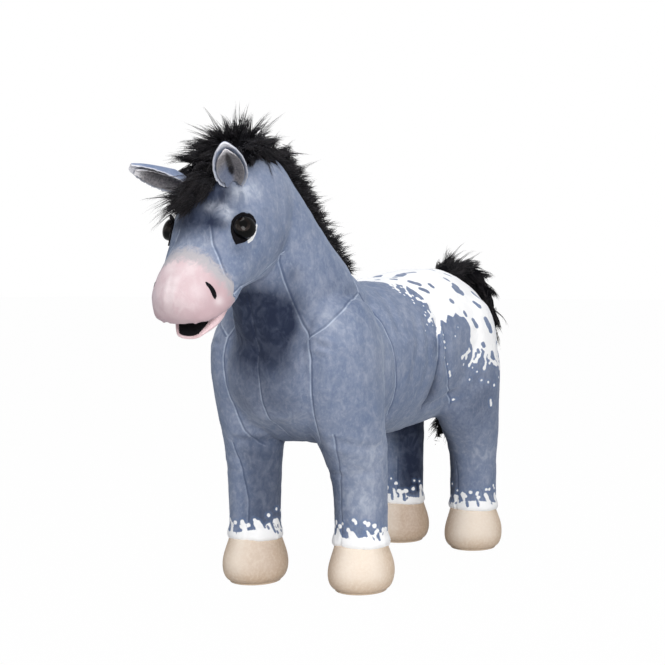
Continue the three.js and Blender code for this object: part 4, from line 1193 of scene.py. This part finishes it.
ears = []
for side in ("left", "right"):
    leaf = softened(f"ear_{side}_plush", f"ear_{side}", 0.7, 4, f"ear_{side}_body")
    lining = softened(f"ear_lining_{side}_plush", f"ear_lining_{side}", 0.5, 3, f"ear_{side}_body")
    for piece in (leaf, lining):
        hinge = ear_hinge * (MIRROR if side == "right" else 1)
        across, along, _ = in_ear_frame(points_of(piece) / MM - hinge, side).T
        share = np.clip(along / EAR_LENGTH, 0, 1)
        half = np.interp(share, *zip(*EAR_HALF_WIDTHS)) * EAR_WIDTH / 2
        # Where the painted shade of the hollow runs down the middle of the cup.
        slit_width = np.interp(share, (0.1, 0.3, 0.55, 0.8), (1.3, 2.6, 2.2, 0.7))
        paint(
            piece,
            to_edge=np.clip(half - np.abs(across), -2, 12),
            along=share,
            facing=in_ear_frame(normals_of(piece), side)[:, 2],
            slit=bell(across, slit_width) * ramp(share, 0.06, 0.25) * ramp(share, 0.88, 0.62),
            across=across,
        )
    ears.append((leaf, lining))

leaf_plush = Finish("ear_plush", 0.9, 0.04, 0.3, (0.75, 0.82, 0.95), 0.42)
leaf_plush.ground(leaf_plush.noise(110), 0.35, 0.7, (0.15, 0.195, 0.31), (0.28, 0.32, 0.43))
facing, grain = leaf_plush.painted("facing"), leaf_plush.noise(500, 2)
edge = leaf_plush.between(leaf_plush.stirred(leaf_plush.painted("to_edge"), grain, 1.4), 3.2, 0.8)
bound = leaf_plush.times(edge, leaf_plush.between(facing, -0.35, 0.25), 0.75)
at_tip = leaf_plush.between(leaf_plush.painted("along"), 0.8, 0.93)
tipped = leaf_plush.times(at_tip, leaf_plush.between(facing, -0.5, 0.1))
leaf_plush.tint(leaf_plush.maths("MAXIMUM", bound, tipped), (0.70, 0.70, 0.74))
leaf_plush.done(leaf_plush.noise(*PILE), 0.35, 0.0006)

grey = Finish("ear_lining_plush", 0.95, 0.04, 0.3, (0.95, 0.9, 0.88), 0.5)
strands, along = grey.noise(650, 3, 0.7, 0.8), grey.painted("along")
grey.ground(strands, 0.3, 0.7, (0.10, 0.10, 0.115), (0.27, 0.255, 0.265))
lower = grey.times(grey.between(along, 0.6, 0.3), grey.between(grey.painted("across"), 2.5, -1.5))
grey.tint(lower, (0.13, 0.17, 0.27), 0.7)
grey.tint(grey.between(grey.stirred(grey.painted("to_edge"), strands, 2), 4.6, 1.8), (0.52, 0.49, 0.50), 0.75)
grey.tint(grey.between(grey.stirred(along, strands, 0.2), 0.78, 0.98), (0.9, 0.88, 0.9), 0.9)
# Painted shade down the middle of the lining's hollow.
slit = grey.times(grey.painted("slit"), grey.between(strands, 0.2, 0.6, 0.35, 1.25))
grey.tint(grey.between(slit, 0.15, 0.95), (0.012, 0.012, 0.016))
grey.done(strands, 0.5, 0.0006)
wear(leaf_plush, *(leaf for leaf, _ in ears))
wear(grey, *(lining for _, lining in ears))
print("ears", [len(leaf.data.vertices) for leaf, _ in ears])

# %% [markdown]
# Long fur. Real faux fur is thousands of tapered fibres that lean together into tufts. Blender's own hair
# would render well but isn't a mesh, so it can't leave with the model. Here one hair is modelled, a thin
# three-sided spike cut into short lengths, and it is copied along thousands of curves. A seeded generator
# scatters them, so that each run gives the same fur.

# %% One hair
blank = primitive(
    "cone", "hair", vertices=3, radius1=1, radius2=0, depth=1, end_fill_type="NGON", location=(0, 0, 0.5),
)
bpy.ops.object.transform_apply(location=True, rotation=True, scale=True)
bm = bmesh_of(blank.data)
long_edges = [e for e in bm.edges if abs(e.verts[0].co.z - e.verts[1].co.z) > 0.5]
bmesh.ops.subdivide_edges(bm, edges=long_edges, cuts=3)
bmesh.ops.triangulate(bm, faces=bm.faces)
bm.verts.ensure_lookup_table()
hair_points = np.array([v.co for v in bm.verts])
hair_faces = np.array([[v.index for v in f.verts] for f in bm.faces])
bm.free()
bpy.data.objects.remove(blank)
hair_along = hair_points[:, 2]
hair_round = hair_points[:, :2] / np.maximum(1 - hair_along, 1e-6)[:, None]
hair_round[hair_along > 0.999] = 0
hair_taper = (1 - hair_along**1.6) * (0.75 + 0.25 * (1 - hair_along))
print("one hair:", len(hair_points), "points,", len(hair_faces), "faces")

# %% [markdown]
# A strand is a curve of four handles: its root, two that bend it, and its tip. The builder lays a copy of
# the hair along each, all at once in one mesh, and notes how far along the strand each point lies and a
# random shade, for the colour.

# %% Lay hairs along curves
def bezier(t):
    """How strongly each of the four handles pulls at a share of the way along."""
    return (1 - t) ** 3, 3 * t * (1 - t) ** 2, 3 * t * t * (1 - t), t**3


def bezier_slope(t):
    edge, middle, end = 3 * (1 - t) ** 2, 6 * t * (1 - t), 3 * t * t
    return -edge, edge - middle, middle - end, end


def lay_hairs(name, handles, radii, rng):
    handles = np.asarray(handles)
    middle = np.einsum("vk,skc->svc", np.stack(bezier(hair_along), 1), handles)
    ahead = units(np.einsum("vk,skc->svc", np.stack(bezier_slope(hair_along), 1), handles))
    across = units(np.cross(ahead, (0.31, 0.87, 0.39)))
    third = np.cross(ahead, across)
    thick = (radii[:, None] * hair_taper[None])[..., None]
    cloud = middle + thick * (across * hair_round[None, :, :1] + third * hair_round[None, :, 1:])
    count, size = len(handles), len(hair_points)
    faces = (hair_faces[None] + size * np.arange(count)[:, None, None]).reshape(-1, 3)
    mesh = bpy.data.meshes.new(name)
    mesh.vertices.add(count * size)
    mesh.vertices.foreach_set("co", (cloud * MM).astype(np.float32).ravel())
    mesh.loops.add(len(faces) * 3)
    mesh.loops.foreach_set("vertex_index", faces.ravel().astype(np.int32))
    mesh.polygons.add(len(faces))
    mesh.polygons.foreach_set("loop_start", np.arange(0, len(faces) * 3, 3, dtype=np.int32))
    mesh.update(calc_edges=True)
    piece = in_scene(name, mesh)
    smooth_shade(piece)
    paint(piece, along=np.tile(hair_along, count), shade=np.repeat(rng.random(count), size))
    return piece


skin_tree = face_tree(skin)


def on_skin(point):
    """The nearest place on the skin to a point in millimetres, and the outward direction there."""
    place, normal, _, _ = skin_tree.find_nearest(Vector(point) * MM)
    return np.array(place) / MM, np.array(normal)


def lifted(point, clearance):
    """The point, moved out where it would lie under the skin or closer to it than the clearance."""
    place, normal = on_skin(point)
    height = (np.asarray(point) - place) @ normal
    return np.asarray(point) + normal * max(0.0, clearance - height)


# %% [markdown]
# The ears swing, so the fur leaves them room. The room is every place that an ear's outline passes as it
# folds; a strand that would enter it is dropped.

# %% Room for the ears
room_points = []
for side in ("left", "right"):
    joint = next(j for j in frame["joints"] if j["name"] == f"ear_{side}_fold")
    axis, pivot = Vector(joint["axis"]).normalized(), np.array(joint["pos_m"])
    leaf = frame["nodes"][f"ear_{side}"]
    corners = points_of(leaf)[read(leaf.data.polygons, "vertices", kind=np.int32)]
    middles = (corners + np.roll(corners, 1, axis=1)) / 2
    outline = np.concatenate([corners.reshape(-1, 3), middles.reshape(-1, 3), corners.mean(1)])
    for degrees in np.linspace(*joint["range_deg"], 9):
        turn = np.array(Matrix.Rotation(math.radians(degrees), 3, axis))
        room_points.append((outline - pivot) @ turn.T + pivot)
room_points = np.concatenate(room_points) / MM
ear_room = point_tree(room_points)


def clear_of_ears(handles, gap=2.2):
    for t in (0.2, 0.35, 0.5, 0.65, 0.8, 0.9, 1.0):
        if ear_room.find(sum(a * np.asarray(h) for a, h in zip(bezier(t), handles)))[2] < gap:
            return False
    return True


print("ear room from", len(room_points), "points")

# %% [markdown]
# Under the long hairs is a short woolly base, so that no backing shows between them. It is the frame's own
# fur volume, drawn in by a few millimetres and roughened, with its underside sewn down to the skin. The
# forelock's base is tucked in over the left temple, and the tail's base narrows towards its root.

# %% Woolly bases
def woolly_base(name, node, shrink, body):
    piece = softened(name, node, 1.5, 8, body, grow=-shrink)
    uneven(piece, 0.005, 0.0018, 9)
    smooth_shade(piece)
    return piece


def sewn_down(piece, reach=8, sink=0.8, underside=-0.15):
    """Bring the underside of a base down into the skin, so that no daylight shows under the fur."""
    points = points_of(piece) / MM
    for i, out in enumerate(normals_of(piece)):
        under, away = on_skin(points[i])
        if (points[i] - under) @ away < reach and out @ away < underside:
            points[i] = under - away * sink
    set_points(piece, points * MM)


mane_base = woolly_base("mane_base", "mane", 3.6, "horse")
forelock_base = woolly_base("forelock_base", "forelock", 3.4, "horse")
sewn_down(mane_base)
sewn_down(forelock_base)
points = points_of(forelock_base)
x, y, z = (points / MM).T
tucked = np.maximum(ramp(x, 8, 13) * ramp(z, 291, 285), ramp(0.9 * x + 282 - z, 7, 12) * (y < -150))
poll = np.array([0, -130, 270]) * MM
set_points(forelock_base, points + (poll - points) * (tucked * 0.16)[:, None])

tail_base = woolly_base("tail_base", "tail_hair", 3.4, "tail")
TAIL_ROOT = (0, 226.5 * MM)
points = points_of(tail_base)
narrow = 1 - 0.5 * ramp(points[:, 1] / MM, 158, 142)
points[:, [0, 2]] = (points[:, [0, 2]] - TAIL_ROOT) * narrow[:, None] + TAIL_ROOT
set_points(tail_base, points)
dock = softened("tail_dock_plush", "tail_dock", 1.0, 3, "tail")
print("bases", [len(p.data.vertices) for p in (mane_base, forelock_base, tail_base)])

# %% [markdown]
# Tufts sprout all over a base. Each has a root on the base and a tip some way off: the way is partly the
# surface's own outward direction and partly the fall of the hair there. The hairs of a tuft start apart and
# end close together. A few tufts are long and thin, and these break the outline.

# %% Sprout tufts from a base
def scattered(piece, count, rng):
    """Random places on a piece, in millimetres, spread evenly over its area, with its outward directions."""
    piece.data.calc_loop_triangles()
    corners = read(piece.data.loop_triangles, "vertices", kind=np.int32)
    a, b, c = (points_of(piece)[corners[:, i]] / MM for i in range(3))
    out = np.cross(b - a, c - a)
    area = np.linalg.norm(out, axis=1)
    pick = rng.choice(len(corners), count, p=area / area.sum())
    u, v = rng.random((2, count, 1))
    u, v = np.where(u + v > 1, 1 - u, u), np.where(u + v > 1, 1 - v, v)
    place = a[pick] + (b - a)[pick] * u + (c - a)[pick] * v
    return place, out[pick] / area[pick][:, None]


HAIR_CEILING, LEAST_HEIGHT, CLEAR_OF_SKIN = 340.5, 0.6, (0.5, 0.6, 0.6)
USUAL_TUFT = {"length": (0.75, 1.15), "lift": 1, "foot": 1.9, "end": 1.1, "width": 1, "thinned": 1}
LONG_TUFT = {"length": (1.4, 2.0), "lift": 1.5, "foot": 1.0, "end": 0.5, "width": 0.75, "thinned": 3}


def sprout(
    base, tufts, hairs, rng, fall_at, length_at, long_share, ears=True, thick=0.32, most_lift=99, where=None,
):
    """Handles and radii of the hairs. fall_at gives the fall, the lift off the skin and the looseness."""
    handles, radii = [], []
    for root, out in zip(*scattered(base, tufts, rng)):
        under, away = on_skin(root)
        if (root - under) @ away < LEAST_HEIGHT or (where and not where(root)):
            continue
        fall, lift, loose = fall_at(root, out)
        tuft = LONG_TUFT if rng.random() < long_share else USUAL_TUFT
        length = length_at(root) * rng.uniform(*tuft["length"])
        way = unit(unit(fall) + out * lift * tuft["lift"] + rng.normal(0, loose, 3))
        tip = root + way * length
        bow = out * length * rng.uniform(0.08, 0.2)
        for _ in range(hairs // tuft["thinned"]):
            start = root + rng.normal(0, tuft["foot"], 3)
            start -= out * (((start - root) @ out) + 1.0)
            end = start + (tip + rng.normal(0, tuft["end"], 3) - start) * rng.uniform(0.55, 1.0)
            if end[2] > HAIR_CEILING:
                continue
            first, second = start + (end - start) * 0.33 + bow * 0.9, start + (end - start) * 0.68 + bow
            handle = [start, *(lifted(p, clear) for p, clear in zip((first, second, end), CLEAR_OF_SKIN))]
            if np.linalg.norm(handle[3] - end) > most_lift:
                continue
            if ears and not clear_of_ears(handle):
                continue
            handles.append(handle)
            radii.append(rng.uniform(0.6, 1.0) * thick * tuft["width"])
    return handles, np.array(radii)


# %% [markdown]
# The forelock turns about a whorl on the poll: near it the hair stands up, and away from it the hair falls
# forward over the forehead, out over the sides and back to the mane.

# %% Forelock
whorl = np.array([0, -137.0, 321.0])


def side_lock(root):
    """1 where the hair hangs out over the right temple in a loose lock, else 0."""
    return np.interp(root[0], (-15, -7), (1, 0)) * np.interp(root[1], (-156, -148), (1, 0))


def forelock_fall(root, out):
    away = root - whorl
    away -= out * (away @ out)
    far = np.linalg.norm(root - whorl)
    fall = unit(away) + np.array([root[0] * 0.012, 0, 0])
    locks = side_lock(root)
    fringe = np.interp(root[1], (-163, -155), (1, 0)) * (1 - locks)
    fall = fall * (1 - locks) + np.array([-0.85, -0.45, -0.45]) * locks
    fall = fall * (1 - fringe) + np.array([-0.30, -0.75, -0.8]) * fringe
    lift = np.interp(far, (3, 24), (2.2, 0.45)) + 0.25 * fringe + 0.5 * locks
    return fall, lift, np.interp(far, (5, 25), (0.34, 0.2))


def forelock_length(root):
    return np.interp(np.linalg.norm(root - whorl), (0, 12, 30), (17, 16, 13)) + 7 * side_lock(root)


def lock_fall(root, out):
    fall = np.array([-0.62, -0.62, -0.95]) + np.array([0, 0, 1.3]) * np.interp(root[2], (288, 300), (0, 1))
    return fall, 0.3, 0.2


def fringe_fall(root, out):
    return np.array([-0.25, -0.7, -0.9]), 0.35, 0.16


def at_lock(root):
    return root[0] < 1 and root[1] < -148 and 268 < root[2] < 293


def at_fringe(root):
    return root[1] < -158 and root[2] < 292 and -14 < root[0] < 14


def laid_fur(name, rng, *sets):
    """One fur from several sets of tufts."""
    handles = [handle for some, _ in sets for handle in some]
    print(name, " + ".join(str(len(some)) for some, _ in sets), "hairs")
    return lay_hairs(name, handles, np.concatenate([radii for _, radii in sets]), rng)


rng = np.random.default_rng(21)
forelock_fur = laid_fur(
    "forelock_fur", rng,
    sprout(forelock_base, 450, 20, rng, forelock_fall, forelock_length, 0.25),
    sprout(forelock_base, 2000, 13, rng, lock_fall, lambda root: 20, 0.35, thick=0.27, where=at_lock),
    sprout(forelock_base, 1700, 12, rng, fringe_fall, lambda root: 12, 0.2, thick=0.28, where=at_fringe),
)

# %% [markdown]
# The mane stands up from the crest and leans a little back and down the neck.

# %% Mane
neck_axis = np.array([0, 80.0, -124.6]) / 148.1
neck_back = np.array([0, 124.6, 80.0]) / 148.1


def mane_fall(root, out):
    return neck_back + neck_axis * 0.5, 0.35, 0.2


rng = np.random.default_rng(7)
mane_fur = laid_fur("mane_fur", rng, sprout(mane_base, 500, 17, rng, mane_fall, lambda root: 12.5, 0.16))

# %% [markdown]
# The tail's hair springs from the dock and falls behind the hocks. Its tufts follow the line of the tail and
# flick outward at their tips.

# %% Tail
TAIL_LINE = np.array([
    (0, 141, 226), (0, 150, 229), (0.5, 161, 230.5), (1.5, 173, 229.5), (3, 184, 224), (5, 191.5, 215),
    (7, 195, 203), (8.5, 196, 188), (8.5, 195.5, 172), (5.5, 192.5, 155), (1.5, 187.5, 138), (-4, 181.5, 121),
    (-9, 175, 105), (-14, 168.5, 91), (-18, 163, 79),
], float)


def tail_fall(root, out):
    near = int(np.argmin(np.linalg.norm(TAIL_LINE - root, axis=1)))
    ahead = TAIL_LINE[min(near + 1, len(TAIL_LINE) - 1)] - TAIL_LINE[max(near - 1, 0)]
    return ahead, np.interp(near, (0, 4, 9), (0.45, 0.45, 0.25)), 0.16


def tail_length(root):
    return np.interp(root[2], (70, 110, 230), (9, 15, 16))


def at_tail_root(root):
    return root[1] < 158


rng = np.random.default_rng(33)
tail_fur = laid_fur(
    "tail_fur", rng,
    sprout(tail_base, 470, 16, rng, tail_fall, tail_length, 0.12, False, most_lift=3),
    sprout(tail_base, 1500, 14, rng, tail_fall, lambda root: 11, 0.1, False, most_lift=3, where=at_tail_root),
)

# %% [markdown]
# Black fur isn't flat black: the fibres shine a little, and their thin tips are painted lighter brown-grey as
# a highlight, most on the tail, which is lit from the side. Each hair also has its own shade.

# %% Long fur finish
fur = Finish("long_fur", 0.5, 0.14, 0.1, (0.7, 0.7, 0.8), 0.4)
tone = fur.stirred(fur.times(fur.painted("shade"), 0.6), fur.noise(260, 2), 0.4)
fur.ground(tone, 0.3, 0.75, (0.003, 0.0028, 0.0038), (0.010, 0.009, 0.011))
# Painted highlight: lighter tips, lighter still on the tail.
behind = fur.between(fur.coordinate("Y"), 0.13, 0.17)
tips = fur.blend(behind, (0.055, 0.047, 0.049), (0.115, 0.095, 0.092))
fur.tint(fur.between(fur.painted("along"), 0.5, 1.0, 0, 0.6), tips)
fur.done()

wool = Finish("fur_base", 0.95, 0.02)
wool.ground(wool.noise(300), 0.35, 0.7, (0.003, 0.003, 0.004), (0.009, 0.0085, 0.010))
wool.done(wool.noise(1200, 3, 0.7), 0.8, 0.0012)
wear(fur, mane_fur, forelock_fur, tail_fur)
wear(wool, mane_base, forelock_base, tail_base, dock)
hand_in(mane_fur, "horse", "mane")
hand_in(forelock_fur, "horse", "forelock")
hand_in(tail_fur, "tail", "tail_hair")
print("fur dressed")

# %% [markdown]
# The skin has been worked as one surface, so that its prints and seams run on across the joins. The real toy
# is sewn from panels, so the last step cuts it into them: trunk, neck, head, muzzle and four legs. Each point
# belongs to the frame solid nearest to it, the borders are smoothed by a few rounds of averaging with the
# neighbours, and each panel's open edges are folded in by a millimetre and a half and closed there.

# %% Cut the skin into its panels
FAR_AWAY, SEARCH, BOX_MARGIN = 0.05, 0.02, 0.012
BORDER_SOFTNESS, BORDER_ROUNDS, HEM_FOLD = 1.5 * MM, 24, 1.5 * MM


def nearest_solids(piece, names):
    """For each point of the skin, how much it belongs to each of the solids."""
    points = points_of(piece)
    away = np.full((len(points), len(names)), FAR_AWAY)
    for column, name in enumerate(names):
        tree = face_tree(frame["nodes"][name])
        low, high = (np.array(c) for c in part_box(name))
        for k in np.nonzero(((points > low - BOX_MARGIN) & (points < high + BOX_MARGIN)).all(1))[0]:
            found = tree.find_nearest(points[k], SEARCH)
            if found[0] is not None:
                away[k, column] = found[3]
    a, b = read(piece.data.edges, "vertices", 2, np.int32).T
    share = np.exp(-away / BORDER_SOFTNESS)
    share /= share.sum(1, keepdims=True)
    for _ in range(BORDER_ROUNDS):
        total = share.copy()
        np.add.at(total, a, share[b])
        np.add.at(total, b, share[a])
        share = total / total.sum(1, keepdims=True)
    return share


def cut_panel(piece, name, keep):
    bm = bmesh_of(piece.data)
    bm.faces.ensure_lookup_table()
    bmesh.ops.delete(bm, geom=[bm.faces[i] for i in np.nonzero(~keep)[0]], context="FACES")
    rim = [e for e in bm.edges if e.is_boundary]
    outward = {v: v.normal.copy() for e in rim for v in e.verts}
    for e in rim:
        e.smooth = False
    flap = bmesh.ops.extrude_edge_only(bm, edges=rim)["geom"]
    for v in (g for g in flap if isinstance(g, bmesh.types.BMVert)):
        outer = next(e.other_vert(v) for e in v.link_edges if not e.is_boundary)
        v.co = outer.co - outward[outer] * HEM_FOLD
    filled = bmesh.ops.holes_fill(bm, edges=[e for e in bm.edges if e.is_boundary], sides=0)["faces"]
    bmesh.ops.triangulate(bm, faces=filled)
    bmesh.ops.recalc_face_normals(bm, faces=bm.faces)
    return new_piece(name, bm)


share = nearest_solids(skin, SKIN_NODES)
owner = share[read(skin.data.polygons, "vertices", 4, np.int32)].sum(1).argmax(1)
for column, node in enumerate(SKIN_NODES):
    panel = cut_panel(skin, f"{node}_plush", owner == column)
    wear(coat, panel)
    hand_in(panel, "horse", node)
    print(panel.name, len(panel.data.polygons), "faces")
bpy.data.objects.remove(skin)
